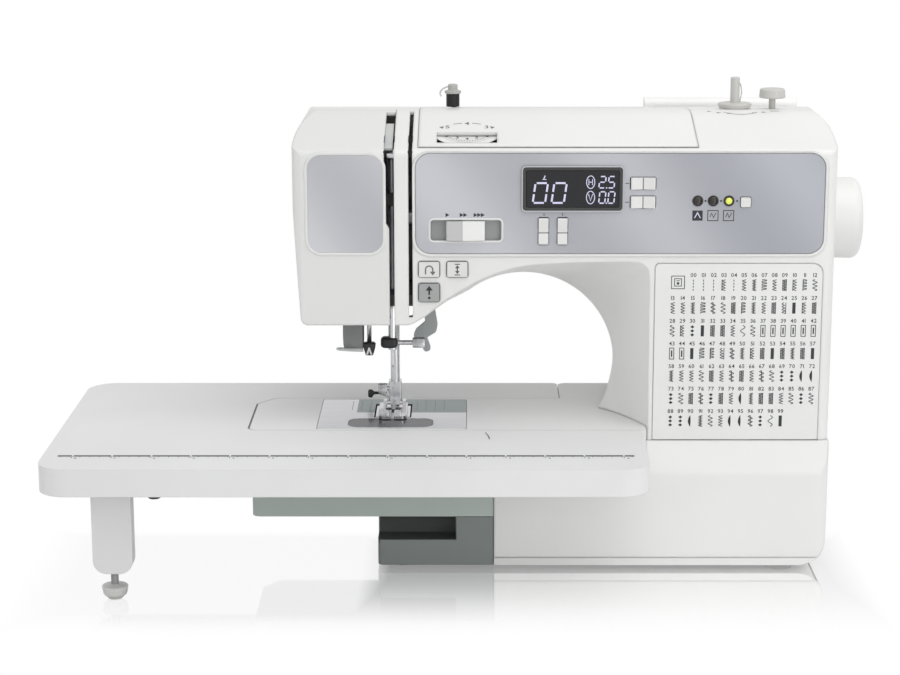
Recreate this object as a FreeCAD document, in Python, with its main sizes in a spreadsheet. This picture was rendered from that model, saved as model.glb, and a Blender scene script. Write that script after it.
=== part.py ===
import FreeCAD, Part
import math
import os
import re
from types import SimpleNamespace
from FreeCAD import Placement, Rotation, Vector

# Driving sizes in millimetres, X along the arm, Y towards the rear, Z up
SIZES = {
    "seam": 0.3, "wall": 2.5, "running_fit": 0.05,
    "table_left": -274, "table_right": 117, "table_front": -137, "table_rear": 91,
    "bed_top": 98, "table_skirt": 18, "table_wall": 3, "table_corner": 20, "table_gap": 0.5,
    "body_left": -116, "body_right": 245, "body_top": 305, "arm_front": -33, "arm_rear": 112,
    "head_bottom": 168.5, "pillar_bottom": 89, "crease": 286, "crest_y": 32, "rear_top": 299,
    "base_front": -41, "base_rear": 137, "base_left": 18.4, "base_bottom": 2.5, "base_split": 8,
    "ledge_height": 67.5, "base_corner": 20,
    "free_left": -147, "free_rear": 46, "free_bottom": 37, "skirt_bottom": 80,
    "step_x": 121, "shoulder_x": 66, "block_left": -60.7,
    "arch_x": 39, "arch_z": 132.5, "arch_radius": 62.5,
    "mouth_right": 122, "mouth_top": 211, "mouth_corner": 9, "flare_depth": 51,
    "throat_fall": 0.2, "throat_widen": 0.04, "throat_shift": 0.025,
    "parting": 45, "lid_left": -32.4, "lid_right": 153, "lid_rear": 72,
    "slot_right": -48.3, "slot_left_low": -51.6, "slot_left_high": -54.9, "slot_depth": 8,
    "panel_left": -34, "panel_right": 236.4, "panel_bottom": 217.5, "panel_top": 284.5,
    "badge_left": -105.5, "badge_right": -56, "badge_bottom": 218, "badge_top": 283,
    "chart_left": 125.5, "chart_right": 237, "chart_bottom": 89.6, "chart_top": 210.5,
    "plate_thick": 1.5, "plate_proud": 0.4, "rim_width": 2.2,
    "needle_x": -51.2, "needle_y": 7, "presser_x": -50, "presser_y": 19, "bar_radius": 3.2,
    "shaft_y": 30, "shaft_z": 231, "shaft_radius": 5,
    "low_y": 14, "low_z": 58, "low_radius": 4, "hook_y": -10,
    "wheel_radius": 28, "wheel_width": 24.4, "motor_y": 75, "motor_z": 72, "motor_radius": 22,
    "belt_thick": 1.6, "timing_radius": 10, "main_pulley": 24, "motor_pulley": 8,
    "plate_left": -101.5, "plate_right": -0.5, "plate_front": -37, "plate_rear": 42,
    "leg_inset": 43, "leg_y": -99, "leg_pivot": 85, "leg_width": 26, "leg_thick": 12,
    "leg_bottom": 18, "pin_radius": 2.5, "rocker_pin": 1.2,
    "winder_x": 186, "stopper_x": 212, "winder_y": 55, "guide_x": -10, "guide_y": 84,
    "handle_clear": 7, "handle_drop": 31, "dial_x": 0, "dial_y": 4, "dial_radius": 18,
}

doc = FreeCAD.newDocument("SewingMachine")
sheet = doc.addObject("Spreadsheet::Sheet", "Sizes")
for row, (alias, value) in enumerate(SIZES.items(), 1):
    sheet.set("A%d" % row, alias)
    sheet.set("B%d" % row, str(value))
    sheet.setAlias("B%d" % row, alias)
doc.recompute()
S = SimpleNamespace(**{alias: float(sheet.get(alias)) for alias in SIZES})

AXES = {"x": Vector(1, 0, 0), "y": Vector(0, 1, 0), "z": Vector(0, 0, 1)}
TURNS = {"x": Rotation(Vector(0, 1, 0), 90), "y": Rotation(Vector(1, 0, 0), -90), "z": Rotation()}
PLANES = {"y": Rotation(Vector(1, 0, 0), 90), "x": Rotation(Vector(1, 1, 1), 120), "z": Rotation()}
NODES = {}


def bind(obj, prop, text):
    """Tie a property to the sheet: every word in the text is one of its cells."""
    obj.setExpression(prop, re.sub(r"[a-z][a-z_]*", lambda word: "Sizes." + word.group(0), str(text)))


def add(kind, label):
    obj = doc.addObject(kind, "piece")
    obj.Label = label
    return obj


def box(label, xs, ys, zs):
    """Block between two expressions along each axis."""
    obj = add("Part::Box", label)
    for prop, axis, (low, high) in zip(("Length", "Width", "Height"), "xyz", (xs, ys, zs)):
        bind(obj, prop, "(%s) - (%s)" % (high, low))
        bind(obj, "Placement.Base." + axis, low)
    return obj


def rod(label, axis, centre, span, radius):
    """Cylinder along an axis; the centre gives the two other coordinates in order."""
    obj = add("Part::Cylinder", label)
    obj.Placement = Placement(Vector(), TURNS[axis])
    bind(obj, "Radius", radius)
    bind(obj, "Height", "(%s) - (%s)" % (span[1], span[0]))
    others = [name for name in "xyz" if name != axis]
    bind(obj, "Placement.Base." + axis, span[0])
    for name, text in zip(others, centre):
        bind(obj, "Placement.Base." + name, text)
    return obj


def outline(label, axis, corners):
    """Sketch across an axis through corners (u, v, radius), each corner rounded by its radius."""
    sketch = add("Sketcher::SketchObject", label + " outline")
    sketch.Placement = Placement(Vector(), PLANES[axis])
    points = [Vector(u, v, 0) for u, v, r in corners]
    starts, ends, arcs = [], [], []
    for i, (u, v, r) in enumerate(corners):
        before = (points[i - 1] - points[i]).normalize()
        after = (points[(i + 1) % len(points)] - points[i]).normalize()
        half = before.getAngle(after) / 2
        if r > 0:
            reach = r / math.tan(half)
            middle = points[i] + (before + after).normalize() * (r / math.sin(half) - r)
            starts.append(points[i] + before * reach)
            ends.append(points[i] + after * reach)
            arcs.append(Part.Arc(starts[-1], middle, ends[-1]))
        else:
            starts.append(points[i])
            ends.append(points[i])
    for i in range(len(points)):
        following = starts[(i + 1) % len(points)]
        if (following - ends[i]).Length > 1e-6:
            sketch.addGeometry(Part.LineSegment(ends[i], following))
    for arc in arcs:
        sketch.addGeometry(arc)
    return sketch


def prism(label, axis, corners, span):
    """Rounded outline pushed along an axis between two expressions."""
    sketch = outline(label, axis, corners)
    bind(sketch, "Placement.Base." + axis, span[0])
    obj = add("Part::Extrusion", label)
    obj.Base = sketch
    obj.DirMode = "Custom"
    obj.Dir = AXES[axis]
    obj.Solid = True
    bind(obj, "LengthFwd", "(%s) - (%s)" % (span[1], span[0]))
    return obj


def turned(label, axis, centre, corners):
    """Outline of (radius, height) turned round an axis line at the given centre."""
    obj = add("Part::Revolution", label)
    if axis == "z":
        sketch = outline(label, "y", corners)
        where = Vector(centre[0], centre[1], 0)
    else:
        sketch = outline(label, "z", [(v, u, r) for u, v, r in corners])
        where = Vector(0, centre[0], centre[1])
    sketch.Placement = Placement(where, sketch.Placement.Rotation)
    obj.Source = sketch
    obj.Base = where
    obj.Axis = AXES[axis]
    obj.Angle = 360
    obj.Solid = True
    return obj


def fuse(label, *pieces):
    obj = add("Part::MultiFuse", label)
    obj.Shapes = list(pieces)
    return obj


def group(label, *pieces):
    obj = add("Part::Compound", label)
    obj.Links = list(pieces)
    return obj


def common(label, *pieces):
    obj = add("Part::MultiCommon", label)
    obj.Shapes = list(pieces)
    return obj


def cut(label, base, *tools):
    obj = add("Part::Cut", label)
    obj.Base = base
    obj.Tool = tools[0] if len(tools) == 1 else group(label + " tools", *tools)
    return obj


def rounded(x0, x1, y0, y1, r):
    return [(x0, y0, r), (x1, y0, r), (x1, y1, r), (x0, y1, r)]


def hull(first, second):
    """Corner list that wraps two circles (u, v, radius), as an even polygon with round ends."""
    (u1, v1, r1), (u2, v2, r2) = first, second
    line = math.atan2(v2 - v1, u2 - u1)
    lean = math.acos((r1 - r2) / math.hypot(u2 - u1, v2 - v1))
    points = []
    for u, v, r, start, sweep in ((u1, v1, r1, line + lean, 2 * math.pi - 2 * lean),
                                  (u2, v2, r2, line - lean, 2 * lean)):
        for step in range(17):
            angle = start + sweep * step / 16
            points.append((u + r * math.cos(angle), v + r * math.sin(angle), 0))
    return points


def node(name, obj):
    obj.Label = name
    NODES[name] = obj
    return obj


# Upper casing, one hollow body that is then parted into covers


def upper_block(label, inset):
    """Arm and pillar block from its front, side and plan outlines, inset for the hollow."""
    left, right = S.body_left + inset, S.body_right - inset
    bottom = S.head_bottom + inset
    floor = S.pillar_bottom - (1 if inset else 0)
    shelf = S.bed_top + S.seam + inset
    top = S.body_top - inset
    front, rear = S.arm_front + inset, S.arm_rear - inset
    facing = prism(label + " front", "y", [
        (left + 5, bottom, 5), (left, bottom + 80, 0), (left, top, 17 - inset),
        (right, top, 12 - inset), (right, floor, 0), (S.step_x + inset, floor, 0),
        (S.step_x + inset, shelf, 0), (S.arch_x, shelf, 0), (S.arch_x, S.head_bottom + 14, 0),
        (-14, S.head_bottom + 14, 0), (-38, bottom, 10)],
        ("arm_front - 2", "arm_rear + 2"))
    side = prism(label + " side", "x", [
        (front, floor - 2, 0), (front, S.crease - inset / 2, 5), (S.crest_y, top, 60),
        (rear, S.rear_top - inset, 24 - inset), (rear, floor - 2, 0)],
        ("body_left - 5", "body_right + 5"))
    plan = prism(label + " plan", "z", [
        (left, front, 7), (right, front, 6), (right, rear, 14), (left, rear, 14)],
        ("pillar_bottom - 5", "body_top + 5"))
    return common(label, facing, side, plan)


def loop_of(label, points, depth):
    """Closed smooth curve through (x, z) points on an upright plane."""
    curve = Part.BSplineCurve()
    curve.interpolate(Points=[Vector(x, depth, z) for x, z in points], PeriodicFlag=True)
    obj = add("Part::Feature", label)
    obj.Shape = Part.Wire(curve.toShape())
    return obj


def mouth_outline():
    """Mouth of the sewing opening: upright at the pillar, level above, swept down to the head."""
    right, top, r = S.mouth_right, S.mouth_top, S.mouth_corner
    points = [(right, top - r - k * (top - r - 30) / 9) for k in range(9, -1, -1)]
    for k in range(1, 6):
        turn = math.radians(18 * k)
        points.append((right - r + r * math.cos(turn), top - r + r * math.sin(turn)))
    points += [(right - 25, top), (right - 40, top), (right - 62, top - 0.6), (35, top - 3), (8.7, top - 12),
               (-16, top - 27), (-33, top - 42.5), (-46, 142), (-52, 110), (-46, 70), (-10, 40), (40, 28)]
    return points + [(right - 40, 20), (right - 8, 20)]


def throat_ring(label, depth, grow):
    """Circle of the round throat: it falls and widens a little towards the rear."""
    run = depth - S.arm_front - S.flare_depth
    radius = S.arch_radius + S.throat_widen * run + grow
    x, z = S.arch_x + S.throat_shift * run, S.arch_z - S.throat_fall * run
    turns = [math.radians(10 * k) for k in range(36)]
    return loop_of(label, [(x + radius * math.cos(a), z + radius * math.sin(a)) for a in turns], depth)


def arch_tool(label, grow):
    """Round sewing opening with its mouth flared towards the front and the pillar."""
    near, far = [], []
    past = 5 / S.flare_depth
    for x, z in mouth_outline():
        turn = math.atan2(z - S.arch_z, x - S.arch_x)
        ux, uz = math.cos(turn), math.sin(turn)
        ring = (S.arch_x + (S.arch_radius + grow) * ux, S.arch_z + (S.arch_radius + grow) * uz)
        edge = (x + grow * ux, z + grow * uz)
        near.append((edge[0] + past * (edge[0] - ring[0]), edge[1] + past * (edge[1] - ring[1])))
        far.append((ring[0] + past * (ring[0] - edge[0]), ring[1] + past * (ring[1] - edge[1])))
    flare = add("Part::Loft", label + " flare")
    flare.Sections = [loop_of(label + " mouth", near, S.arm_front - 5),
                      loop_of(label + " neck", far, S.arm_front + S.flare_depth + 5)]
    flare.Solid = True
    flare.Ruled = True
    throat = add("Part::Loft", label + " throat")
    throat.Sections = [throat_ring(label + " throat start", S.arm_front + S.flare_depth - 12, grow),
                       throat_ring(label + " throat end", S.arm_rear + 5, grow)]
    throat.Solid = True
    throat.Ruled = True
    return fuse(label, flare, throat)


upper_outer = cut("upper outer", upper_block("upper block", 0), arch_tool("arch", 0))
upper_inner = cut("upper inner", upper_block("upper hollow", S.wall), arch_tool("inner arch", S.wall))
upper_shell = cut("upper shell", upper_outer, upper_inner)
head_opening = box("head opening", (-90, -12), (-14, 45.15), ("head_bottom - 5", "head_bottom + 20"))
upper_open = cut("upper open", upper_shell, head_opening)

# Face cover left of the thread slot
face_front = prism("face front", "y", [
    (S.body_left - 5, S.head_bottom - 5, 0), (S.slot_left_low, S.head_bottom - 5, 0),
    (S.slot_left_low, 234, 0), (S.slot_left_high, 240, 0), (S.slot_left_high, S.body_top + 5, 0),
    (S.body_left - 5, S.body_top + 5, 0)], ("arm_front - 5", "slot_depth"))
face_back = box("face back", ("body_left - 5", "slot_right - seam"), ("slot_depth", "parting"),
                ("head_bottom - 5", "body_top + 5"))
badge_corners = rounded(S.badge_left, S.badge_right, S.badge_bottom, S.badge_top, 9)
badge_pocket = prism("badge pocket", "y", rounded(
    S.badge_left - S.seam, S.badge_right + S.seam, S.badge_bottom - S.seam, S.badge_top + S.seam, 9.3),
    ("arm_front - 3", "arm_front + plate_thick - plate_proud"))
face_region = fuse("face region", face_front, face_back)
slot_roof = box("slot roof", ("slot_left_high", "slot_right"), ("slot_depth - 1", "crest_y - 2"),
                ("crease", "body_top + 5"))
node("face_cover", cut("face", common("face shell", upper_open, face_region), badge_pocket, slot_roof))
node("badge_plate", prism("badge", "y", badge_corners,
     ("arm_front - plate_proud", "arm_front + plate_thick - plate_proud")))

# Hinged top cover over the spool bay
lid_hole = box("lid hole", ("lid_left - seam", "lid_right + seam"), ("arm_front - 5", "lid_rear + 1.3"),
               ("crease + 1.2", "body_top + 5"))
lid_block = box("lid block", ("lid_left", "lid_right"), ("arm_front - 5", "lid_rear"),
                ("crease + 1.5", "body_top + 5"))
hinge_z = S.body_top - (S.body_top - S.rear_top) * (S.lid_rear - S.crest_y) / (S.arm_rear - S.crest_y) - 1
hinges = [rod("lid barrel", "x", ("lid_rear", hinge_z), (x, x + 9), 1.6) for x in (-20, 132)]
dial_window = box("dial window", ("dial_x - 20", "dial_x + 20"), (-20, -4), ("crease - 2", "body_top"))
thumb_notch = rod("thumb notch", "y", (68, "crease + 1"), ("arm_front - 3", "arm_front + 4"), 5)
lid_piece = cut("lid piece", common("lid shell", upper_open, lid_block), dial_window, thumb_notch)
node("top_cover", fuse("lid", lid_piece, *hinges))
hinge_reliefs = [rod("barrel relief", "x", ("lid_rear", hinge_z), (x - 0.5, x + 9.5), 2) for x in (-20, 132)]

# Front cover with the pockets and windows of its controls
KEY_GAP = 0.4
KEYS = {
    "tens_key": (47.4, 54, 223.5, 241.5), "ones_key": (60, 66.6, 223.5, 241.5),
    "length_key": (108, 124.6, 260.5, 268.5), "width_key": (108, 124.6, 248, 256),
    "mode_button": (181, 187.6, 248.7, 255.3),
    "reverse_button": (-32, -18.5, 201.7, 211.8), "needle_button": (-13.2, 0.3, 201.7, 211.8),
    "start_button": (-32, -18.5, 185, 197),
}
ROCKERS = {"tens_key": "x", "ones_key": "x", "length_key": "z", "width_key": "z"}
SLOT = (-24, 22.5, 226.2, 239.8)
GLASS = (39.3, 100.3, 248.8, 273)


def window(label, edges, grow):
    x0, x1, z0, z1 = edges
    return prism(label, "y", rounded(x0 - grow, x1 + grow, z0 - grow, z1 + grow, 1.2),
                 ("arm_front - 5", "arm_front + 5"))


def rocker_pin(name, past, radius):
    """Pin that a rocker key turns on, along x or z at the inner face of the front wall."""
    x0, x1, z0, z1 = KEYS[name]
    if ROCKERS[name] == "x":
        return rod(name + " pin", "x", ("arm_front + wall", (z0 + z1) / 2), (x0 - past, x1 + past), radius)
    return rod(name + " pin", "z", ((x0 + x1) / 2, "arm_front + wall"), (z0 - past, z1 + past), radius)


front_block = box("front block", ("slot_right", "body_right + 5"), ("arm_front - 5", "parting"),
                  ("pillar_bottom - 5", "body_top + 5"))
guide_slot = fuse(
    "guide slot", box("guide slit", (-38.8, -36.2), ("arm_front - 5", "slot_depth"), (174, "body_top + 5")),
    box("guide roof", (-38.8, -36.2), ("slot_depth - 1", "crest_y + 1"), ("crease", "body_top + 5")))
panel_pocket = prism("panel pocket", "y", rounded(
    S.panel_left - S.seam, S.panel_right + S.seam, S.panel_bottom - S.seam, S.panel_top + S.seam, 10.3),
    ("arm_front - 3", "arm_front + plate_thick - plate_proud"))
chart_pocket = prism("chart pocket", "y", [
    (S.chart_left - S.seam, S.chart_bottom - 5, 0), (S.chart_right + S.seam, S.chart_bottom - 5, 0),
    (S.chart_right + S.seam, S.chart_top + S.seam, 7), (S.chart_left - S.seam, S.chart_top + S.seam, 3)],
    ("arm_front - 3", "arm_front + plate_thick - plate_proud"))
windows = [window(name + " window", edges, KEY_GAP) for name, edges in KEYS.items()]
windows.append(window("slot window", SLOT, 0))
windows.append(window("glass window", GLASS, S.seam))
front_piece = cut("front piece", common("front shell", upper_open, front_block), guide_slot, lid_hole,
                  panel_pocket, chart_pocket, *windows)
rim_outer = prism("rim outer", "y", rounded(
    S.panel_left - S.rim_width, S.panel_right + S.rim_width, S.panel_bottom - S.rim_width,
    S.panel_top + 1.4, 11.8), ("arm_front - 0.9", "arm_front + 0.6"))
rim = cut("rim", rim_outer, panel_pocket, guide_slot)
posts = [rod("board post", "y", (x, z), ("arm_front + 1.6", "arm_front + 10.7"), 3)
         for x in (-27, 204) for z in (245, 278)]
# Spool tray under the top cover, open round the tension dial
tray_boxes = [box("tray floor", (-36, 156.5), (-20, 74.5), (272.5, 274.5)),
              box("tray front", (-36, 156.5), (-20, -18.2), (272.5, 286.5)),
              box("tray rear", (-36, 156.5), (72.7, 74.5), (272.5, 296))]
for low, high in ((-36, -34), (154.5, 156.5)):
    tray_boxes.append(box("tray back side", (low, high), (44, 74.5), (272.5, 296)))
    side_box = box("tray side box", (low, high), (-20, "parting"), (272.5, "body_top + 5"))
    tray_boxes.append(common("tray side", side_box, upper_outer))
dial_bay = box("dial bay", (-22, 24), (-18, 47), (270, 280))
tray = cut("tray", fuse("tray solid", *tray_boxes), dial_bay)
slot_floor = box("slot floor", (-26, 24.5), ("arm_front + 2.3", "arm_front + 3.8"), (224.4, 241.6))
neck_slit = box("neck slit", (-12.9, 11.1), ("arm_front + 1", "arm_front + 5"), (230.5, 235.5))
pins = [rocker_pin(name, 2, "rocker_pin") for name in ROCKERS]
slit_floor = cut("slit floor", slot_floor, neck_slit)
node("front_cover", fuse("front", front_piece, rim, tray, slit_floor, *posts, *pins))

# Rear cover with the handle ears and the winder deck
rear_block = box("rear block", ("body_left - 5", "body_right + 5"), ("parting + seam", "arm_rear + 5"),
                 ("pillar_bottom - 5", "body_top + 5"))
wheel_hole = rod("wheel hole", "x", ("shaft_y", "shaft_z"), ("body_right - 6", "body_right + 6"), 7)
winder_slot = box("winder slot", ("winder_x - 3.6", "winder_x + 10"), ("winder_y - 3.6", "winder_y + 3.6"),
                  ("body_top - 12", "body_top + 5"))
stopper_hole = rod("stopper hole", "z", ("stopper_x", "winder_y"), ("body_top - 12", "body_top + 5"), 2.4)
guide_hole = rod("guide hole", "z", ("guide_x", "guide_y"), ("body_top - 16", "body_top + 5"), 2.3)
SCREWS = [(-80, 190), (-80, 270), (110, 250), (225, 120), (225, 215), (130, 120)]
screw_holes = [rod("screw hole", "y", (x, z), ("arm_rear - 6", "arm_rear + 3"), 1.8) for x, z in SCREWS]
rear_piece = cut("rear piece", common("rear shell", upper_open, rear_block), lid_hole, winder_slot,
                 stopper_hole, guide_hole, *screw_holes)
HANDLE = ("arm_rear + handle_clear", "rear_top - handle_drop")
ears = [box("handle ear", (x, x + 6.7), ("arm_rear - 1", HANDLE[0] + " + 5"),
            (HANDLE[1] + " - 6", HANDLE[1] + " + 6")) for x in (134.3, 225)]
ear_holes = rod("ear holes", "x", HANDLE, (130, 240), "pin_radius + running_fit")
node("rear_cover", cut("rear", fuse("rear with ears", rear_piece, *ears), ear_holes, *hinge_reliefs))
NODES["front_cover"] = cut("front_cover", NODES["front_cover"], wheel_hole)
screws = []
for x, z in SCREWS:
    head = rod("screw head", "y", (x, z), ("arm_rear + 0.02", "arm_rear + 2"), 3.4)
    shank = rod("screw shank", "y", (x, z), ("arm_rear - 5", "arm_rear + 1"), 1.6)
    screws.append(fuse("screw", head, shank))
node("case_screws", group("screws", *screws))

# Front plates and controls
panel_plate = prism("panel", "y", rounded(S.panel_left, S.panel_right, S.panel_bottom, S.panel_top, 10),
                    ("arm_front - plate_proud", "arm_front + plate_thick - plate_proud"))
node("control_plate", cut("panel cut", panel_plate, *[
    window(name + " opening", edges, KEY_GAP) for name, edges in KEYS.items() if edges[2] > 215],
    window("slot opening", SLOT, 0), window("glass opening", GLASS, S.seam)))
chart_plate = prism("chart", "y", [
    (S.chart_left, S.chart_bottom, 1), (S.chart_right, S.chart_bottom, 1),
    (S.chart_right, S.chart_top, 7), (S.chart_left, S.chart_top, 3)],
    ("arm_front - plate_proud", "arm_front + plate_thick - plate_proud"))
node("stitch_chart", chart_plate)
bezel_outer = prism("bezel outer", "y", rounded(36, 103.6, 245.6, 276.2, 3.5),
                    ("arm_front - 1.6", "arm_front - plate_proud"))
node("display_bezel", cut("bezel", bezel_outer, window("bezel window", GLASS, S.seam)))
node("display_glass", prism("glass", "y", rounded(*GLASS, 1), ("arm_front - 1", "arm_front + 4")))
node("circuit_board", box("board", (-30, 207), ("arm_front + 11", "arm_front + 12.6"), (221, 282)))

for name in ("reverse_button", "needle_button", "start_button", "mode_button"):
    x0, x1, z0, z1 = KEYS[name]
    node(name, prism(name, "y", rounded(x0, x1, z0, z1, 1), ("arm_front - 1.6", "arm_front + 8")))
for name in ("tens_key", "ones_key"):
    x0, x1, z0, z1 = KEYS[name]
    waist = (z0 + z1) / 2 - 1
    rocker = prism(name, "x", [
        (S.arm_front + 7, z0 + 1, 0), (S.arm_front + 7, z1 - 1, 0), (S.arm_front - 2.6, z1, 1),
        (S.arm_front - 1.2, waist, 0), (S.arm_front - 2.6, z0, 1)], (x0, x1))
    node(name, cut(name, rocker, rocker_pin(name, 2, "rocker_pin + running_fit")))
for name in ("length_key", "width_key"):
    x0, x1, z0, z1 = KEYS[name]
    waist = (x0 + x1) / 2
    rocker = prism(name, "z", [
        (x0 + 1, S.arm_front + 7, 0), (x0, S.arm_front - 2.6, 1), (waist, S.arm_front - 1.2, 0),
        (x1, S.arm_front - 2.6, 1), (x1 - 1, S.arm_front + 7, 0)], (z0, z1))
    node(name, cut(name, rocker, rocker_pin(name, 2, "rocker_pin + running_fit")))
slider_foot = box("slider foot", (-13.4, 11.4), ("arm_front - 1", "arm_front + 1.9"), (226.6, 239.4))
slider_neck = box("slider neck", (-2.5, 0.5), ("arm_front + 1.5", "arm_front + 8"), (231, 235))
slider_grip = prism("slider grip", "z", [
    (-13.8, S.arm_front - 1, 0), (11.8, S.arm_front - 1, 0), (11.8, S.arm_front - 3.4, 1.4),
    (0.6, S.arm_front - 4, 0), (-2.6, S.arm_front - 4, 0), (-13.8, S.arm_front - 3.4, 1.4)], (226.6, 239.4))
node("speed_slider", fuse("slider", slider_foot, slider_neck, slider_grip))

# Base, pan and feet


def base_block(label, inset):
    """Base block from its front, side and plan outlines, inset for the hollow."""
    left, right = S.base_left + inset, S.body_right - inset
    low = S.skirt_bottom - S.seam - inset
    top = S.pillar_bottom - S.seam - inset
    bottom = S.base_bottom - (2 if inset else 0)
    front, rear = S.base_front + inset, S.base_rear - inset
    facing = prism(label + " front", "y", [
        (left, bottom, 0), (left, low, 0), (S.step_x + inset, low, 0), (S.step_x + inset, top, 0),
        (right, top, 0), (right, bottom, S.base_corner - inset)], ("base_front - 2", "base_rear + 2"))
    side = prism(label + " side", "x", [
        (front, bottom, 0), (rear, bottom, 0), (rear, 60, 8), (S.arm_rear + 3, top, 0),
        (S.arm_front + inset, top, 0), (front, S.ledge_height, 8)], ("base_left - 5", "body_right + 5"))
    plan = prism(label + " plan", "z", [
        (left, front, 0), (right, front, 7), (right, rear, 12), (left, rear, 0)],
        ("base_bottom - 5", "pillar_bottom + 5"))
    return common(label, facing, side, plan)


base_outer = base_block("base block", 0)
base_inner = base_block("base hollow", S.wall)
above_split = box("above split", ("base_left - 5", "body_right + 5"), ("base_front - 5", "base_rear + 5"),
                  ("base_split", "pillar_bottom + 5"))
below_split = box("below split", ("base_left - 5", "body_right + 5"), ("base_front - 5", "base_rear + 5"),
                  ("base_bottom - 5", "base_split - seam"))
pillar_hole = box("pillar hole", ("step_x + 3", "body_right - 8"), ("arm_front + 8", "arm_rear - 8"),
                  ("skirt_bottom", "pillar_bottom + 5"))
arm_hole = box("arm hole", ("base_left - 5", "step_x - 4"), ("base_front + 8", "free_rear - 5"),
               (42, "pillar_bottom"))
inlet_hole = box("inlet hole", ("body_right - 6", "body_right + 6"), (39.7, 90.3), (29.7, 64.3))
node("base_cover", cut("base", common("base above", base_outer, above_split), base_inner, pillar_hole,
     arm_hole, inlet_hole))
block_outer = prism("block outer", "z", [
    (S.block_left, S.base_front + 1, 4), (S.base_left - S.seam, S.base_front + 1, 0),
    (S.base_left - S.seam, S.free_rear + 12, 0), (S.block_left, S.free_rear + 12, 10)],
    ("base_bottom", "free_bottom - seam"))
block_recess = box("block recess", ("block_left - 5", -7.3), ("base_front - 5", "base_front + 19"),
                   (20.4, "free_bottom + 5"))
block_hollow = box("block hollow", ("block_left + wall", "base_left - 3"),
                   ("base_front + 21.5", "free_rear - 4"), ("base_split", "free_bottom + 5"))
block = cut("block", block_outer, block_recess, block_hollow)
saddle = box("motor saddle", (168, 214), ("motor_y - 13", "motor_y + 13"),
             ("base_split - 1", "motor_z - motor_radius - seam"))
tie = box("pan tie", ("base_left - 4", "base_left + 4"), ("base_front + 4", "free_rear + 8"),
          ("base_bottom", "base_split - seam"))
node("base_pan", fuse("pan", common("pan plate", base_outer, below_split), block, saddle, tie))
node("rubber_feet", group("feet", *[
    rod("foot", "z", (x, y), (0, "base_bottom"), 9)
    for x, y in ((-44, -24), (215, -24), (-44, 44), (215, 112))]))

# Free arm, bed and needle plate


def arm_plan(inset):
    left, front, rear = S.free_left + inset, S.base_front + inset, S.free_rear - inset
    return left, front, rear


left, front, rear = arm_plan(1)
arm_outer = prism("arm outer", "z", [
    (left, front, 6), (S.base_left - S.seam, front, 0), (S.base_left - S.seam, rear, 0),
    (left + 11, rear, 5), (left, rear - 16, 7)], ("free_bottom", "skirt_bottom - seam"))
left, front, rear = arm_plan(1 + S.wall)
arm_inner = prism("arm inner", "z", [
    (left, front, 4), (S.base_left + 5, front, 0), (S.base_left + 5, rear, 0),
    (left + 10, rear, 3), (left, rear - 15, 5)], ("free_bottom + wall", "bed_top"))
hook_boss = rod("hook boss", "z", ("needle_x", "hook_y"), ("free_bottom + 1", 48), 7)
hook_bore = rod("hook bore", "z", ("needle_x", "hook_y"), (43.5, 60), "3 + running_fit")
node("free_arm", cut("arm", fuse("arm with boss", cut("arm shell", arm_outer, arm_inner), hook_boss),
     hook_bore))

left, front, rear = arm_plan(0)
bed_outer = prism("bed outer", "z", [
    (left, front, 6), (S.step_x - S.seam, front, 0), (S.step_x - S.seam, S.table_rear, 0),
    (S.shoulder_x, S.table_rear, 6), (S.shoulder_x, rear, 0), (left + 11, rear, 5), (left, rear - 16, 7)],
    ("skirt_bottom", "bed_top"))
left, front, rear = arm_plan(S.wall)
bed_inner = prism("bed inner", "z", [
    (left, front, 4), (S.step_x - S.seam - S.wall, front, 0),
    (S.step_x - S.seam - S.wall, S.table_rear - S.wall, 0), (S.shoulder_x + S.wall, S.table_rear - S.wall, 4),
    (S.shoulder_x + S.wall, rear, 0), (left + 10, rear, 3), (left, rear - 15, 5)],
    ("skirt_bottom - 5", "bed_top - 4"))
plate_pocket = box("plate pocket", ("plate_left - seam", "plate_right + seam"),
                   ("plate_front - seam", "plate_rear + seam"), ("bed_top - 2", "bed_top + 5"))
plate_through = box("plate through", ("plate_left + 4", "plate_right - 4"),
                    ("plate_front + 2", "plate_rear - 4"), ("skirt_bottom", "bed_top + 5"))
node("bed_cover", cut("bed", bed_outer, bed_inner, plate_pocket, plate_through))
plate = prism("plate", "z", rounded(S.plate_left, S.plate_right, S.plate_front, S.plate_rear, 2),
              ("bed_top - 2", "bed_top"))
needle_slot = prism("needle slot", "z", rounded(-55.4, -47, 5.4, 8.6, 1.5), ("bed_top - 5", "bed_top + 5"))
feed_slots = [box("feed slot", (x, x + 7), (-7.5, 29.5), ("bed_top - 5", "bed_top + 5"))
              for x in (-64, -45.4)]
cover_hole = prism("cover hole", "z", rounded(-81, -23, -33.5, -9.5, 8), ("bed_top - 5", "bed_top + 5"))
node("needle_plate", cut("plate cut", plate, needle_slot, cover_hole, *feed_slots))
node("bobbin_cover", prism("cover", "z", rounded(-80.7, -23.3, -33.2, -9.8, 7.7),
                           ("bed_top - 2", "bed_top - 0.1")))

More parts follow.
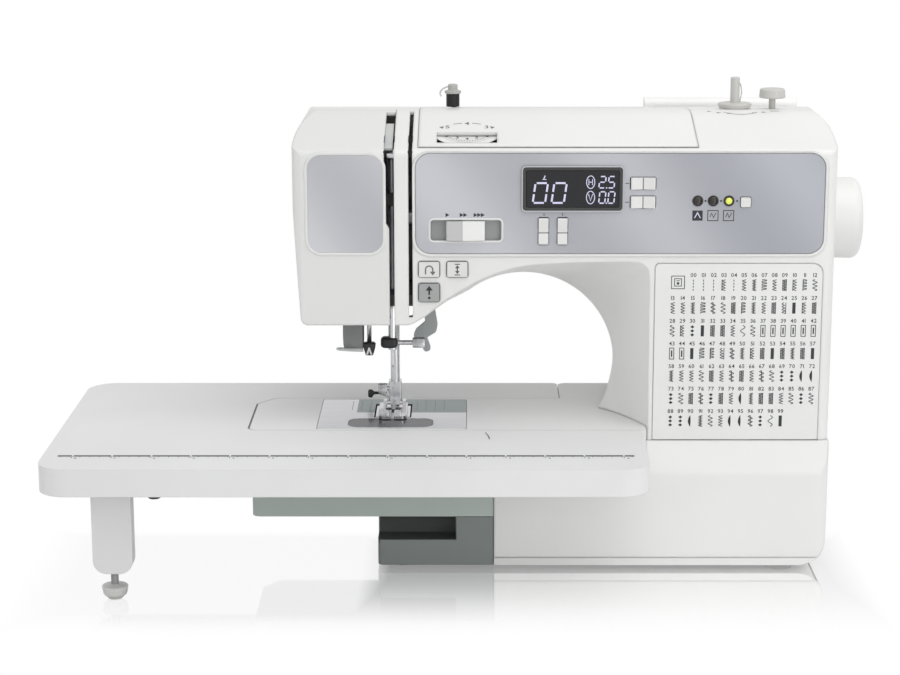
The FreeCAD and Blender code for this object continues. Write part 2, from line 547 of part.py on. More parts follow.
# Drive train
crank = rod("crank", "x", ("shaft_y", "shaft_z"), (-57, -51), 12)
shaft = rod("shaft", "x", ("shaft_y", "shaft_z"), (-55, "body_right + 19"), "shaft_radius")
upper_timing = rod("upper timing pulley", "x", ("shaft_y", "shaft_z"), (146, 156), "timing_radius")
main_pulley = rod("main pulley", "x", ("shaft_y", "shaft_z"), (224, 234), "main_pulley")
node("main_shaft", fuse("main shaft", crank, shaft, upper_timing, main_pulley))
x0 = S.body_right + 0.6
x1 = x0 + S.wheel_width
node("handwheel", turned("wheel", "x", (S.shaft_y, S.shaft_z), [
    (S.shaft_radius, x0, 0), (S.wheel_radius - 0.5, x0, 1.5), (S.wheel_radius, x1, 6),
    (S.wheel_radius - 9, x1, 2), (S.wheel_radius - 11, x1 - 3, 1), (S.shaft_radius + 5, x1 - 3, 0),
    (S.shaft_radius, x1 - 5, 0)]))
low_shaft = rod("low shaft", "x", ("low_y", "low_z"), (-75, 165), "low_radius")
worm = rod("skew gear", "x", ("low_y", "low_z"), (-59, -43.4), 15.5)
low_timing = rod("low timing pulley", "x", ("low_y", "low_z"), (146, 156), "timing_radius")
node("lower_shaft", fuse("lower shaft", low_shaft, worm, low_timing))
node("rotary_hook", turned("hook", "z", (S.needle_x, S.hook_y), [
    (0, 44, 0), (3, 44, 0), (3, 51, 0), (7.75, 51, 0), (7.75, 63, 0), (3, 63, 0), (3, 75, 0),
    (16, 75, 0), (16, 86.5, 0), (13.5, 86.5, 0), (13.5, 78, 0), (0, 78, 0)]))
node("bobbin_case", turned("case", "z", (S.needle_x, S.hook_y), [
    (2.5, 78.4, 0), (13.1, 78.4, 0), (13.1, 87.4, 0), (11.3, 87.4, 0), (11.3, 80, 0), (4, 80, 0),
    (4, 86, 0), (2.5, 86, 0)]))
node("drive_motor", rod("motor", "x", ("motor_y", "motor_z"), (162, 220), "motor_radius"))
motor_axle = rod("motor axle", "x", ("motor_y", "motor_z"), (220.3, 236), 3)
node("motor_pulley", fuse("motor pulley piece", motor_axle,
     rod("motor pulley", "x", ("motor_y", "motor_z"), (224, 234), "motor_pulley")))


def belt(label, first, second, span):
    """Closed loop round two pulleys (y, z, radius) with a small running gap."""
    inner = [(y, z, r + 0.4) for y, z, r in (first, second)]
    outer = [(y, z, r + 0.4 + S.belt_thick) for y, z, r in (first, second)]
    return cut(label, prism(label + " outer", "x", hull(*outer), span),
               prism(label + " inner", "x", hull(*inner), (span[0] - 1, span[1] + 1)))


timing_belt = belt("timing belt", (S.shaft_y, S.shaft_z, S.timing_radius),
                   (S.low_y, S.low_z, S.timing_radius), (146.5, 155.5))
motor_belt = belt("motor belt", (S.shaft_y, S.shaft_z, S.main_pulley),
                  (S.motor_y, S.motor_z, S.motor_pulley), (224.5, 233.5))
node("toothed_belts", group("belts", timing_belt, motor_belt))

# Cast frame with its bearing bosses and bar guides
beam = box("beam", (-95, 218), (44, 50), (212, 270))
head_plate = box("head plate", (-72, -38), (44, 50), (172, 270))
lifter_plate = box("lifter plate", (-40, -22), (44, 50), (183, 230))
UPPER_BEARINGS = ((-35, -25), (70, 80), (205, 215))
LOWER_BEARINGS = ((-30, -22), (60, 68))
bosses = [box("upper boss", span, ("shaft_y - 11", 45), ("shaft_z - 11", "shaft_z + 11"))
          for span in UPPER_BEARINGS]
bosses += [box("lower boss", span, ("low_y - 9", 33), ("low_z - 9", "low_z + 9")) for span in LOWER_BEARINGS]
low_guide = box("low guide", (-69.9, -36), (-6, 45), (176, 184))
mid_guide = box("mid guide", (-66, -40), (13, 45), (198, 204))
top_guide = box("top guide", (-66, -47.2), (0, 45), (244, 252))
lever_boss = box("lever boss", (-43.2, -36), (24, 45), (246, 258))
column = box("column", (125, 140), (41, 56), ("base_split", 262))
column_foot = box("column foot", (125, 140), (31, 56), (47, 73))
bracket = box("bracket", (-95, 140), (31, 36), (47, 73))
feed_rail = box("feed rail", (-66, -37), (17, 36), (76, 83.7))
feed_link = box("feed link", (-66, -37), (31, 36), (70, 80))
dial_shelf = box("dial shelf", (-14, 14), (-6, 45), (262, 270))
spool_seat = box("spool seat", (14, 20), (34, 46), (262, 292))
frame_solid = fuse("frame solid", beam, head_plate, lifter_plate, low_guide, mid_guide, top_guide,
                   lever_boss, column, column_foot, bracket, feed_rail, feed_link, dial_shelf, spool_seat, *bosses)
slope = math.atan2(S.body_top - S.crease, S.crest_y - S.arm_front)
dial_turn = Rotation(Vector(1, 0, 0), math.degrees(slope))
dial_face = Vector(S.dial_x, S.dial_y, S.crease + math.tan(slope) * (S.dial_y - S.arm_front) - 2.9)
dial_axis = dial_turn.multVec(Vector(0, 0, 1))


def dial_rod(label, radius, low, high):
    """Cylinder on the tilted dial axis between two depths below the dial face."""
    obj = add("Part::Cylinder", label)
    bind(obj, "Radius", radius)
    obj.Height = high - low
    obj.Placement = Placement(dial_face + dial_axis * low, dial_turn)
    return obj


holes = [rod("needle guide bore", "z", ("needle_x", "needle_y"), (170, 260), "bar_radius + running_fit"),
         rod("presser guide bore", "z", ("presser_x", "presser_y"), (170, 215), "bar_radius + running_fit"),
         rod("threader bore", "z", (-67, 0), (170, 190), "1.6 + running_fit"),
         rod("lever bore", "x", (30, 252), (-44, -35), "pin_radius + running_fit"),
         rod("lifter bore", "y", (-30, 188), (43, 51), "pin_radius + running_fit"),
         dial_rod("dial bore", "3 + running_fit", -40, 5)]
holes += [rod("upper bore", "x", ("shaft_y", "shaft_z"), (a - 1, b + 1), 8) for a, b in UPPER_BEARINGS]
holes += [rod("lower bore", "x", ("low_y", "low_z"), (a - 1, b + 1), 7) for a, b in LOWER_BEARINGS]
node("cast_frame", cut("frame", frame_solid, *holes))
bushes = []
for spans, centre, radius, outer in ((UPPER_BEARINGS, ("shaft_y", "shaft_z"), "shaft_radius", 7.95),
                                     (LOWER_BEARINGS, ("low_y", "low_z"), "low_radius", 6.95)):
    for a, b in spans:
        body = rod("bush body", "x", centre, (a, b), outer)
        bushes.append(cut("bush", body, rod("bush bore", "x", centre, (a - 1, b + 1), radius + " + running_fit")))
node("shaft_bushes", group("bushes", *bushes))
node("tension_dial", fuse("dial", dial_rod("dial disc", "dial_radius", -6, 0),
                          dial_rod("dial stem", 3, -34, -5)))
node("spool_pin", rod("spool pin", "x", (40, 285), (20.1, 112), 3))

# Needle bar, take-up and threader
node("needle_bar", rod("needle bar", "z", ("needle_x", "needle_y"), (143, 289), "bar_radius"))
clamp_block = prism("clamp block", "z", rounded(-62, -47.6, 2, 12, 2.5), (144, 151.5))
clamp_bore = rod("clamp bore", "z", ("needle_x", "needle_y"), (140, 160), "bar_radius + 0.02")
node("needle_clamp", cut("clamp", clamp_block, clamp_bore))
node("clamp_screw", fuse("clamp screw piece", rod("clamp stud", "x", (7, 147.6), (-47.6, -36), 1.6),
     rod("clamp head", "x", (7, 147.6), (-37.5, -29), 3.6)))
node("needle", turned("needle piece", "z", (S.needle_x, S.needle_y), [
    (0, 113, 0), (0.42, 116, 0), (0.42, 130, 0), (0.95, 131.5, 0), (0.95, 143, 0), (0, 143, 0)]))
lever_plate = prism("lever plate", "x", hull((30, 252, 6), (-14, 281, 4.5)), (-46, -43.5))
lever_eye = rod("lever eye", "x", (-14, 281), (-53.5, -45), 3.4)
lever_pin = rod("lever pin", "x", (30, 252), (-44, -36.5), "pin_radius")
node("take_up_lever", fuse("lever", lever_plate, lever_eye, lever_pin))
threader_plate = box("threader plate", (-85, -70.4), (-2, -0.4), (143.6, 210))
threader_toe = box("threader toe", (-89.5, -71), (-7, -0.4), (143, 145.4))
threader_rod = rod("threader rod", "z", (-67, 0), (141, 210), 1.6)
threader_head = prism("threader head", "z", rounded(-71.4, -62.6, -4, 4, 1.5), (140.4, 149.4))
threader_top = box("threader top", (-85, -66), (-2, 1.2), (204, 210))
node("needle_threader", fuse("threader", threader_plate, threader_toe, threader_rod, threader_head,
                             threader_top))

# Presser bar, foot and lifter
node("presser_bar", rod("presser bar", "z", ("presser_x", "presser_y"), (106, 208), "bar_radius"))
holder_block = prism("holder block", "z", rounded(-54.4, -45.6, 14.4, 23.6, 1.2), (104.8, 118))
holder_nose = box("holder nose", (-53, -47), (10.6, 18), (101.2, 106))
holder_bore = rod("holder bore", "z", ("presser_x", "presser_y"), (105.9, 125), "bar_radius + 0.02")
nose_bore = rod("nose bore", "x", (14, 103.2), (-60, -40), 1.55)
node("foot_holder", cut("holder", fuse("holder solid", holder_block, holder_nose), holder_bore, nose_bore))
node("holder_screw", fuse("holder screw piece", rod("holder stud", "x", (19, 112), (-56, -54.4), 1.8),
     rod("holder head", "x", (19, 112), (-62, -55.8), 3.6)))
sole = prism("sole", "z", [(-61, -14, 4), (-41.4, -14, 4), (-41.4, 24, 2), (-61, 24, 2)],
             ("bed_top + 0.4", "bed_top + 2.6"))
sole_slot = prism("sole slot", "z", rounded(-56.4, -46, 3.2, 10.2, 2), ("bed_top - 2", "bed_top + 5"))
toe_slot = box("toe slot", (-52.2, -50.2), (-20, 5), ("bed_top - 2", "bed_top + 5"))
lugs = [box("foot lug", (x, x + 2.4), (10.5, 17.5), ("bed_top + 2", 105.2)) for x in (-58, -44.8)]
foot_pin = rod("foot pin", "x", (14, 103.2), (-57, -43.4), 1.5)
node("presser_foot", fuse("foot", cut("sole cut", sole, sole_slot, toe_slot), foot_pin, *lugs))
lifter_arm = prism("lifter arm", "y", [
    (-34, 192, 3), (-26.5, 192, 3), (-20.5, 156, 3), (-21.5, 151, 3), (-28, 147, 0), (-25, 138, 2),
    (-29.5, 136.5, 2), (-33, 144, 0), (-37.5, 148, 2), (-35.5, 152.5, 2), (-29, 158, 2)], (25, 31))
lifter_pin = rod("lifter pin", "y", (-30, 188), (30, 49), "pin_radius")
node("presser_lifter", fuse("lifter", lifter_arm, lifter_pin))
feed_bars = [box("feed bar", (x, x + 5), (-4, 26), (88, 97.6)) for x in (-63, -44.4)]
feed_bridge = box("feed bridge", (-63, -39.4), (17, 26), (84, 89))
node("feed_dogs", fuse("feed", feed_bridge, *feed_bars))

# Fittings on the top
node("winding_guide", turned("guide", "z", (S.guide_x, S.guide_y), [
    (0, 292, 0), (2, 292, 0), (2, 301.7, 0), (4.7, 301.7, 0), (4.7, 310.6, 0), (5.8, 311, 0),
    (5.8, 312.6, 0), (3.4, 313.4, 0), (3.4, 317.4, 1), (0, 317.4, 0)]))
node("bobbin_winder", turned("winder", "z", (S.winder_x, S.winder_y), [
    (0, 284, 0), (3, 284, 0), (3, 304.2, 0), (11, 304.2, 0), (11.8, 307.4, 0.8), (3.2, 308, 0),
    (3.2, 325.4, 1), (0, 325.4, 0)]))
node("winder_stop", turned("stop", "z", (S.stopper_x, S.winder_y), [
    (0, 297, 0), (2.3, 297, 0), (2.3, 311, 0), (9.2, 311, 1), (8.6, 317.4, 1.2), (0, 317.4, 0)]))
handle_y = S.arm_rear + S.handle_clear
arm_shape = hull((handle_y, S.rear_top - S.handle_drop, 5), (handle_y, S.rear_top, 5))
handle_arms = [prism("handle arm", "x", arm_shape, span) for span in ((128, 134), (232, 238))]
grip = rod("grip", "x", (HANDLE[0], "rear_top"), (128, 238), 5)
handle_pins = [rod("handle pin", "x", HANDLE, span, "pin_radius") for span in ((133, 140.4), (225.6, 233))]
node("carry_handle", fuse("handle", grip, *handle_arms, *handle_pins))

# Power inlet on the right side of the base
inlet_block = box("inlet block", ("body_right - 8", "body_right + 1"), (40, 90), (30, 64))
inlet_socket = prism("inlet socket", "x", rounded(66, 85, 38, 56, 3), ("body_right - 6", "body_right + 3"))
switch_well = box("switch well", ("body_right - 6", "body_right + 3"), (45.4, 58.6), (35.4, 58.6))
SWITCH = ("body_right - 2.5", 47)
switch_pin = rod("switch pin", "y", SWITCH, (44, 60), "rocker_pin")
switch_bore = rod("switch bore", "y", SWITCH, (44, 60), "rocker_pin + running_fit")
node("power_inlet", fuse("inlet with pin", cut("inlet", inlet_block, inlet_socket, switch_well), switch_pin))
rocker = prism("switch", "y", [
    (S.body_right - 4.6, 38, 0), (S.body_right + 3, 36, 1), (S.body_right + 1.2, 47, 0),
    (S.body_right + 3, 58, 1), (S.body_right - 4.6, 56, 0)], (46, 58))
node("power_switch", cut("switch cut", rocker, switch_bore))

# Extension table and its folding leg
W, G = S.table_wall, S.table_gap


def table_plan(w):
    left, right, front, rear = S.table_left + w, S.table_right - w, S.table_front + w, S.table_rear - w
    return [(left, front, S.table_corner - w), (right, front, S.table_corner - w),
            (right, S.base_front - G - w, 0), (S.free_left - G - w, S.base_front - G - w, 6),
            (S.free_left - G - w, S.free_rear - 16 + w / 2, 7), (S.free_left + 11 - G - w / 2, S.free_rear + G + w, 5),
            (S.shoulder_x - G - w, S.free_rear + G + w, 0), (S.shoulder_x - G - w, rear, 4),
            (left, rear, S.table_corner - w)]


table_outer = prism("table outer", "z", table_plan(0), ("bed_top - table_skirt", "bed_top"))
table_inner = prism("table inner", "z", table_plan(W), ("bed_top - table_skirt - 5", "bed_top - table_wall"))
table_shell = cut("table shell", table_outer, table_inner)
ribs = [box("front rib", (x, x + 2), ("table_front + 1", "base_front - 2"), ("bed_top - 13", "bed_top - 2"))
        for x in (-190, -100, 0, 80)]
ribs += [box("rear rib", (x, x + 2), ("free_rear + 2", "table_rear - 1"), ("bed_top - 13", "bed_top - 2"))
         for x in (-110, -30, 40)]
ribs.append(box("end rib", ("table_left + 1", "free_left - 2"), (20, 22), ("bed_top - 13", "bed_top - 2")))
LEG_X = "table_left + leg_inset"
leg_x = S.table_left + S.leg_inset
leg_lugs = [box("leg lug", ("%s + %s" % (LEG_X, a), "%s + %s" % (LEG_X, b)), ("leg_y - 7", "leg_y + 7"),
                ("leg_pivot - 6", "bed_top - 2")) for a, b in ((-18.5, -13.5), (13.5, 18.5))]
leg_bore = rod("leg bore", "x", ("leg_y", "leg_pivot"), (LEG_X + " - 25", LEG_X + " + 25"),
               "pin_radius + running_fit")
node("extension_table", cut("table", fuse("table solid", table_shell, *ribs, *leg_lugs), leg_bore))
half = S.leg_width / 2
leg_plate = prism("leg plate", "y", [
    (leg_x - half, S.leg_bottom, 9), (leg_x + half, S.leg_bottom, 9),
    (leg_x + half, S.leg_pivot + 6, 4), (leg_x - half, S.leg_pivot + 6, 4)],
    ("leg_y - leg_thick / 2", "leg_y + leg_thick / 2"))
leg_pin = rod("leg pin", "x", ("leg_y", "leg_pivot"), (LEG_X + " - 18", LEG_X + " + 18"), "pin_radius")
leg_hole = rod("leg hole", "z", (LEG_X, "leg_y"), (10, 34), "pin_radius + running_fit")
node("table_leg", cut("leg", fuse("leg solid", leg_plate, leg_pin), leg_hole))
node("leg_foot", turned("screw foot", "z", (leg_x, S.leg_y), [
    (0, 0, 0), (4.5, 0, 0), (7.8, 3.2, 2), (8.8, 8.6, 1), (2.5, 9.4, 0), (2.5, 32, 0), (0, 32, 0)]))

# Check every feature and write the pieces
doc.recompute()
for obj in doc.Objects:
    if "Invalid" in obj.State or "Error" in obj.State:
        raise RuntimeError("%s did not build: %s" % (obj.Label, obj.State))
os.makedirs("parts", exist_ok=True)
for name, obj in NODES.items():
    obj.Label = name
    if not obj.Shape.Solids or not obj.Shape.isValid():
        raise RuntimeError("%s is not a valid solid" % name)
    obj.Shape.exportStep("parts/%s.step" % name)
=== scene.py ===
"""Looks of a household sewing machine with an extension table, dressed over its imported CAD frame."""

import math

import bpy
import numpy as np
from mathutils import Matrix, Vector


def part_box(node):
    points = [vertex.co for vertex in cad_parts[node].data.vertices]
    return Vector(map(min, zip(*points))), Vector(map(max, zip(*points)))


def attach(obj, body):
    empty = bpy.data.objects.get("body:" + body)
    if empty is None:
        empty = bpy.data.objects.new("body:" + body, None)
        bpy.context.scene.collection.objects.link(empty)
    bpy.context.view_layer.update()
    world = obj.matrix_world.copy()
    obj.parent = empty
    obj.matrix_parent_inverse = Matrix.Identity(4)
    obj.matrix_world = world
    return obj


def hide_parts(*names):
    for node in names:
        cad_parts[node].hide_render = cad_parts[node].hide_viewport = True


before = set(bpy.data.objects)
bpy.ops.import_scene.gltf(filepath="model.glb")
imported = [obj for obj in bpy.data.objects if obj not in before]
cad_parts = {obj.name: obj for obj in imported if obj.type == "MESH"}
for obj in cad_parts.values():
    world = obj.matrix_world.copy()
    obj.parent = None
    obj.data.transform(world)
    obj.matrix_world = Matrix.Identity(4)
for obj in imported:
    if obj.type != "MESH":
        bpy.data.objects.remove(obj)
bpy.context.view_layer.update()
MM = 0.001  # sizes are in millimetres, unless a comment says metres
INCH = 25.4
FRONT = -33.0  # front plane of the arm
PLATE = -33.4  # front plane of the silver and chart plates
GLASS = -34.0  # front plane of the display
BUTTON = -34.6  # front plane of the push buttons
BED = 98.0  # table and bed top
LIFT = 0.06  # a print stands this far off its surface


# Finishes


def material(name):
    """New node material; returns it with its nodes, links and main shader."""
    made = bpy.data.materials.new(name)
    made.use_nodes = True
    nodes, links = made.node_tree.nodes, made.node_tree.links
    return made, nodes, links, nodes["Principled BSDF"]


def place(nodes, links, turn=(0, 0, 0), scale=(1, 1, 1)):
    """Object coordinates through a Mapping node."""
    coords = nodes.new("ShaderNodeTexCoord")
    mapping = nodes.new("ShaderNodeMapping")
    mapping.inputs["Rotation"].default_value = turn
    mapping.inputs["Scale"].default_value = scale
    links.new(coords.outputs["Object"], mapping.inputs["Vector"])
    return mapping.outputs["Vector"]


def noise(nodes, links, where, scale, detail=3.0):
    """Noise from 0 to 1 at a place, finer with a larger scale."""
    texture = nodes.new("ShaderNodeTexNoise")
    texture.inputs["Scale"].default_value = scale
    texture.inputs["Detail"].default_value = detail
    links.new(where, texture.inputs["Vector"])
    return texture.outputs["Fac"]


def ramp(nodes, links, source, stops):
    """Colour ramp with (position, colour) stops."""
    made = nodes.new("ShaderNodeValToRGB")
    elements = made.color_ramp.elements
    while len(elements) < len(stops):
        elements.new(0.5)
    for element, (position, colour) in zip(elements, stops):
        element.position = position
        element.color = (*colour, 1)
    links.new(source, made.inputs["Fac"])
    return made.outputs["Color"]


def span(nodes, links, source, low, high, start=0.0, end=1.0, soft=False):
    """Maps a source that runs from start to end to the range from low to high, with soft ends if asked."""
    made = nodes.new("ShaderNodeMapRange")
    if soft:
        made.interpolation_type = "SMOOTHSTEP"
    for key, value in (("From Min", start), ("From Max", end), ("To Min", low), ("To Max", high)):
        made.inputs[key].default_value = value
    links.new(source, made.inputs["Value"])
    return made.outputs["Result"]


def feed(links, socket, value):
    """Links a source to a socket, or sets the socket to a plain value."""
    if isinstance(value, bpy.types.NodeSocket):
        links.new(value, socket)
    else:
        socket.default_value = value


def axes(nodes, links):
    """Object coordinates in metres as X, Y and Z outputs."""
    coords = nodes.new("ShaderNodeTexCoord")
    parts = nodes.new("ShaderNodeSeparateXYZ")
    links.new(coords.outputs["Object"], parts.inputs["Vector"])
    return parts.outputs


def reckon(nodes, links, operation, first, second):
    """One operation, such as a product, a maximum or a step, on two sources or plain values."""
    made = nodes.new("ShaderNodeMath")
    made.operation = operation
    feed(links, made.inputs[0], first)
    feed(links, made.inputs[1], second)
    return made.outputs["Value"]


def mixed(nodes, links, share, under, over, kind="MIX"):
    """Colour laid over another by a share."""
    made = nodes.new("ShaderNodeMix")
    made.data_type = "RGBA"
    made.blend_type = kind
    for key, value in (("Factor", share), ("A", under), ("B", over)):
        feed(links, made.inputs[key], value)
    return made.outputs["Result"]


def layered(nodes, links, share, under, over):
    """Shader laid over another by a share."""
    made = nodes.new("ShaderNodeMixShader")
    feed(links, made.inputs["Fac"], share)
    links.new(under, made.inputs[1])
    links.new(over, made.inputs[2])
    return made.outputs["Shader"]


def grain(nodes, links, shader, height, strength, distance, edge=0.0):
    """Bump from a height, over a softly rounded edge normal where edge is a radius in metres."""
    bump = nodes.new("ShaderNodeBump")
    bump.inputs["Strength"].default_value = strength
    bump.inputs["Distance"].default_value = distance
    links.new(height, bump.inputs["Height"])
    if edge:
        soft = nodes.new("ShaderNodeBevel")
        soft.samples = 4
        soft.inputs["Radius"].default_value = edge
        links.new(soft.outputs["Normal"], bump.inputs["Normal"])
    links.new(bump.outputs["Normal"], shader.inputs["Normal"])


def moulded(name, colour, rough, drift=0.03, bump=0.08, edge=0.0007, pit=1400.0):
    """Moulded plastic: fine spark-eroded grain, faint mottling in colour and sheen, soft edges."""
    made, nodes, links, shader = material(name)
    where = place(nodes, links)
    broad = noise(nodes, links, where, 9.0)
    fine = noise(nodes, links, where, pit, 2.0)
    low = tuple(max(0.0, c * (1 - drift)) for c in colour)
    high = tuple(min(1.0, c * (1 + drift)) for c in colour)
    links.new(ramp(nodes, links, broad, ((0.3, low), (0.7, high))), shader.inputs["Base Color"])
    links.new(span(nodes, links, fine, rough - 0.06, rough + 0.06), shader.inputs["Roughness"])
    grain(nodes, links, shader, fine, bump, 0.0001, edge)
    return made


def brushed(name, colour, rough, turn=(0, 0, 0), stretch=(6, 400, 400), drift=0.08, edge=0.0):
    """Metal with fine drawn lines: noise stretched along the grain sets colour, sheen and bump."""
    made, nodes, links, shader = material(name)
    shader.inputs["Metallic"].default_value = 1.0
    lines = noise(nodes, links, place(nodes, links, turn, stretch), 4.0, 4.0)
    low = tuple(c * (1 - drift) for c in colour)
    high = tuple(min(1.0, c * (1 + drift)) for c in colour)
    links.new(ramp(nodes, links, lines, ((0.3, low), (0.7, high))), shader.inputs["Base Color"])
    links.new(span(nodes, links, lines, rough - 0.05, rough + 0.08), shader.inputs["Roughness"])
    grain(nodes, links, shader, lines, 0.06, 0.00005, edge)
    return made


def silver_paint(name):
    """Silver painted plate: metal flake under paint, painted reflection in soft stripes that run aslant, and
    painted shade that darkens it to the right.
    """
    made, nodes, links, shader = material(name)
    shader.inputs["Metallic"].default_value = 0.35
    # Painted reflection: a wave texture set aslant gives lighter and darker stripes of the silver
    bands = nodes.new("ShaderNodeTexWave")
    bands.wave_type = "BANDS"
    bands.bands_direction = "X"
    for key, value in (("Scale", 3.2), ("Distortion", 1.4), ("Detail", 1.0), ("Detail Scale", 0.8)):
        bands.inputs[key].default_value = value
    links.new(place(nodes, links, (0, math.radians(38), 0)), bands.inputs["Vector"])
    tones = ramp(nodes, links, bands.outputs["Fac"], (
        (0.0, (0.52, 0.53, 0.56)), (0.5, (0.58, 0.59, 0.62)), (1.0, (0.66, 0.67, 0.70))))
    # Painted shade: the colour darkens from left to right across the plate
    across = span(nodes, links, axes(nodes, links)["X"], 0.0, 1.0, -0.11, 0.24)
    painted_shade_right = ramp(nodes, links, across, (
        (0, (1, 1, 1)), (0.5, (0.84, 0.84, 0.86)), (1, (0.68, 0.69, 0.72))))
    links.new(mixed(nodes, links, 1.0, tones, painted_shade_right, "MULTIPLY"), shader.inputs["Base Color"])
    flake = noise(nodes, links, place(nodes, links), 2600.0, 2.0)
    links.new(span(nodes, links, flake, 0.34, 0.5), shader.inputs["Roughness"])
    grain(nodes, links, shader, flake, 0.05, 0.00005, 0.0004)
    return made


def ink(name, colour, rough=0.5, glow=0.0):
    """Printed ink with a slightly uneven film."""
    made, nodes, links, shader = material(name)
    film = noise(nodes, links, place(nodes, links), 900.0, 2.0)
    low = tuple(c * 0.88 for c in colour)
    links.new(ramp(nodes, links, film, ((0.3, low), (0.7, colour))), shader.inputs["Base Color"])
    links.new(span(nodes, links, film, rough - 0.08, rough + 0.08), shader.inputs["Roughness"])
    if glow:
        shader.inputs["Emission Color"].default_value = (*colour, 1)
        shader.inputs["Emission Strength"].default_value = glow
    return made


def clear_smoke(name):
    """Dark smoked transparent plastic with a polished face and hairline scuffs."""
    made, nodes, links, shader = material(name)
    shader.inputs["Specular IOR Level"].default_value = 0.35
    scuffs = noise(nodes, links, place(nodes, links, (0, 0, 0.6), (20, 500, 500)), 3.0, 4.0)
    links.new(ramp(nodes, links, scuffs, ((0.3, (0.05, 0.05, 0.056)), (0.7, (0.07, 0.07, 0.078)))),
              shader.inputs["Base Color"])
    links.new(span(nodes, links, scuffs, 0.10, 0.24), shader.inputs["Roughness"])
    grain(nodes, links, shader, scuffs, 0.03, 0.00003, 0.0005)
    return made


def two_tone(name, first, second, axis, split, rough=0.4):
    """Two mouldings seen as one piece: the colour changes at a coordinate along one axis, in metres."""
    made, nodes, links, shader = material(name)
    beyond = reckon(nodes, links, "GREATER_THAN", axes(nodes, links)[axis], split)
    fine = noise(nodes, links, place(nodes, links), 1200.0, 2.0)
    links.new(mixed(nodes, links, beyond, (*first, 1), (*second, 1)), shader.inputs["Base Color"])
    links.new(span(nodes, links, fine, rough - 0.06, rough + 0.06), shader.inputs["Roughness"])
    grain(nodes, links, shader, fine, 0.08, 0.0001, 0.0005)
    return made


def inside(nodes, links, lows, highs):
    """1 inside a box, 0 outside: the product of two steps on each axis that is bounded."""
    where = axes(nodes, links)
    product = None
    for axis, low, high in zip("XYZ", lows, highs):
        for edge, operation in ((low, "GREATER_THAN"), (high, "LESS_THAN")):
            if edge is None:
                continue
            step = reckon(nodes, links, operation, where[axis], edge * MM)
            product = step if product is None else reckon(nodes, links, "MULTIPLY", product, step)
    return product


def tinted(made, boxes):
    """Lays tones over a finish inside boxes of (lows, highs, colour), and of a second colour at the top."""
    nodes, links = made.node_tree.nodes, made.node_tree.links
    target = nodes["Principled BSDF"].inputs["Base Color"]
    for lows, highs, colour, *top in boxes:
        under = target.links[0].from_socket
        share = inside(nodes, links, lows, highs)
        over = (*colour, 1)
        if top:
            rise = span(nodes, links, axes(nodes, links)["Z"], 0.0, 1.0, lows[2] * MM, highs[2] * MM)
            over = ramp(nodes, links, rise, ((0, colour), (1, top[0])))
        links.new(mixed(nodes, links, share, under, over), target)
    return made


casing_white = moulded("casing_white", (0.80, 0.80, 0.785), 0.36, edge=0.003)
handle_white = moulded("handle_white", (0.90, 0.90, 0.89), 0.3)
winder_grey = moulded("winder_grey", (0.56, 0.555, 0.53), 0.4)
# Painted shade: near black laid on the casing inside the two thread slots of the head
SLOT_PAINTED_SHADE = (0.012, 0.012, 0.013)
front_white = tinted(moulded("front_white", (0.80, 0.80, 0.785), 0.36, edge=0.002), (
    # Painted shade: the casing left of X -48.45 a little darker than the rest
    ((None, None, None), (-48.45, None, None), (0.745, 0.75, 0.74)),
    ((-55.3, -32.4, 172), (-48.0, 60, 285.6), SLOT_PAINTED_SHADE), ((-55.3, -20, 285), (-48.0, 26, 293), SLOT_PAINTED_SHADE),
    ((-39.2, -32.4, 172), (-35.9, 60, 285.6), SLOT_PAINTED_SHADE), ((-39.2, -20, 285), (-35.9, 26, 293), SLOT_PAINTED_SHADE),
    # Painted shade: grey on the casing inside the recess of the slider slot
    ((-24.2, -32.3, 226), (22.7, -29, 240), (0.32, 0.33, 0.325))))
table_white = moulded("table_white", (0.76, 0.765, 0.76), 0.42, bump=0.12)
chart_white = moulded("chart_white", (0.79, 0.795, 0.785), 0.45, edge=0.0003)
key_white = moulded("key_white", (0.74, 0.74, 0.73), 0.36, edge=0.0005)
# Painted shade: the free arm is grey for the shade under the table
arm_painted_shade = moulded("arm_painted_shade", (0.46, 0.52, 0.49), 0.5, bump=0.15)
# Base pan: its own white right of X 18.4; to the left, grey that is painted shade under the table
pan_white_and_painted_shade = tinted(moulded("pan_white_and_painted_shade", (0.22, 0.245, 0.235), 0.5, bump=0.15), (
    ((18.4, None, None), (None, None, None), (0.80, 0.80, 0.785)),
    # Painted shade in the recess under the free arm; the lower box runs darker towards its top
    ((-59, -40, 36), (-8, 80, 60), (0.045, 0.05, 0.048)),
    ((-60, -39, 18), (-8, 80, 36), (0.085, 0.093, 0.09), (0.012, 0.013, 0.013))))
foot_finish = tinted(moulded("clear_white", (0.62, 0.62, 0.60), 0.25), (
    ((None, None, 9.6), (None, None, None), (0.30, 0.30, 0.30)),))
light_grey = moulded("light_grey", (0.42, 0.44, 0.44), 0.42)
start_grey = moulded("start_grey", (0.37, 0.38, 0.375), 0.38, edge=0.0005)
dark_plastic = moulded("dark_plastic", (0.022, 0.022, 0.024), 0.42, drift=0.2)
soft_rubber = moulded("soft_rubber", (0.035, 0.035, 0.037), 0.75, drift=0.2, bump=0.2)
board_green = moulded("board_green", (0.006, 0.03, 0.013), 0.4, drift=0.25)
silver_plate = silver_paint("silver_plate")
bezel_silver = moulded("bezel_silver", (0.50, 0.51, 0.54), 0.3, edge=0.0006)
bezel_dark = moulded("bezel_dark", (0.045, 0.045, 0.045), 0.3, edge=0.0006)
display_black = ink("display_black", (0.012, 0.012, 0.016), 0.16)
smoke_cover = clear_smoke("smoke_cover")
bright_steel = brushed("bright_steel", (0.72, 0.72, 0.74), 0.16, stretch=(300, 300, 8), edge=0.0003)
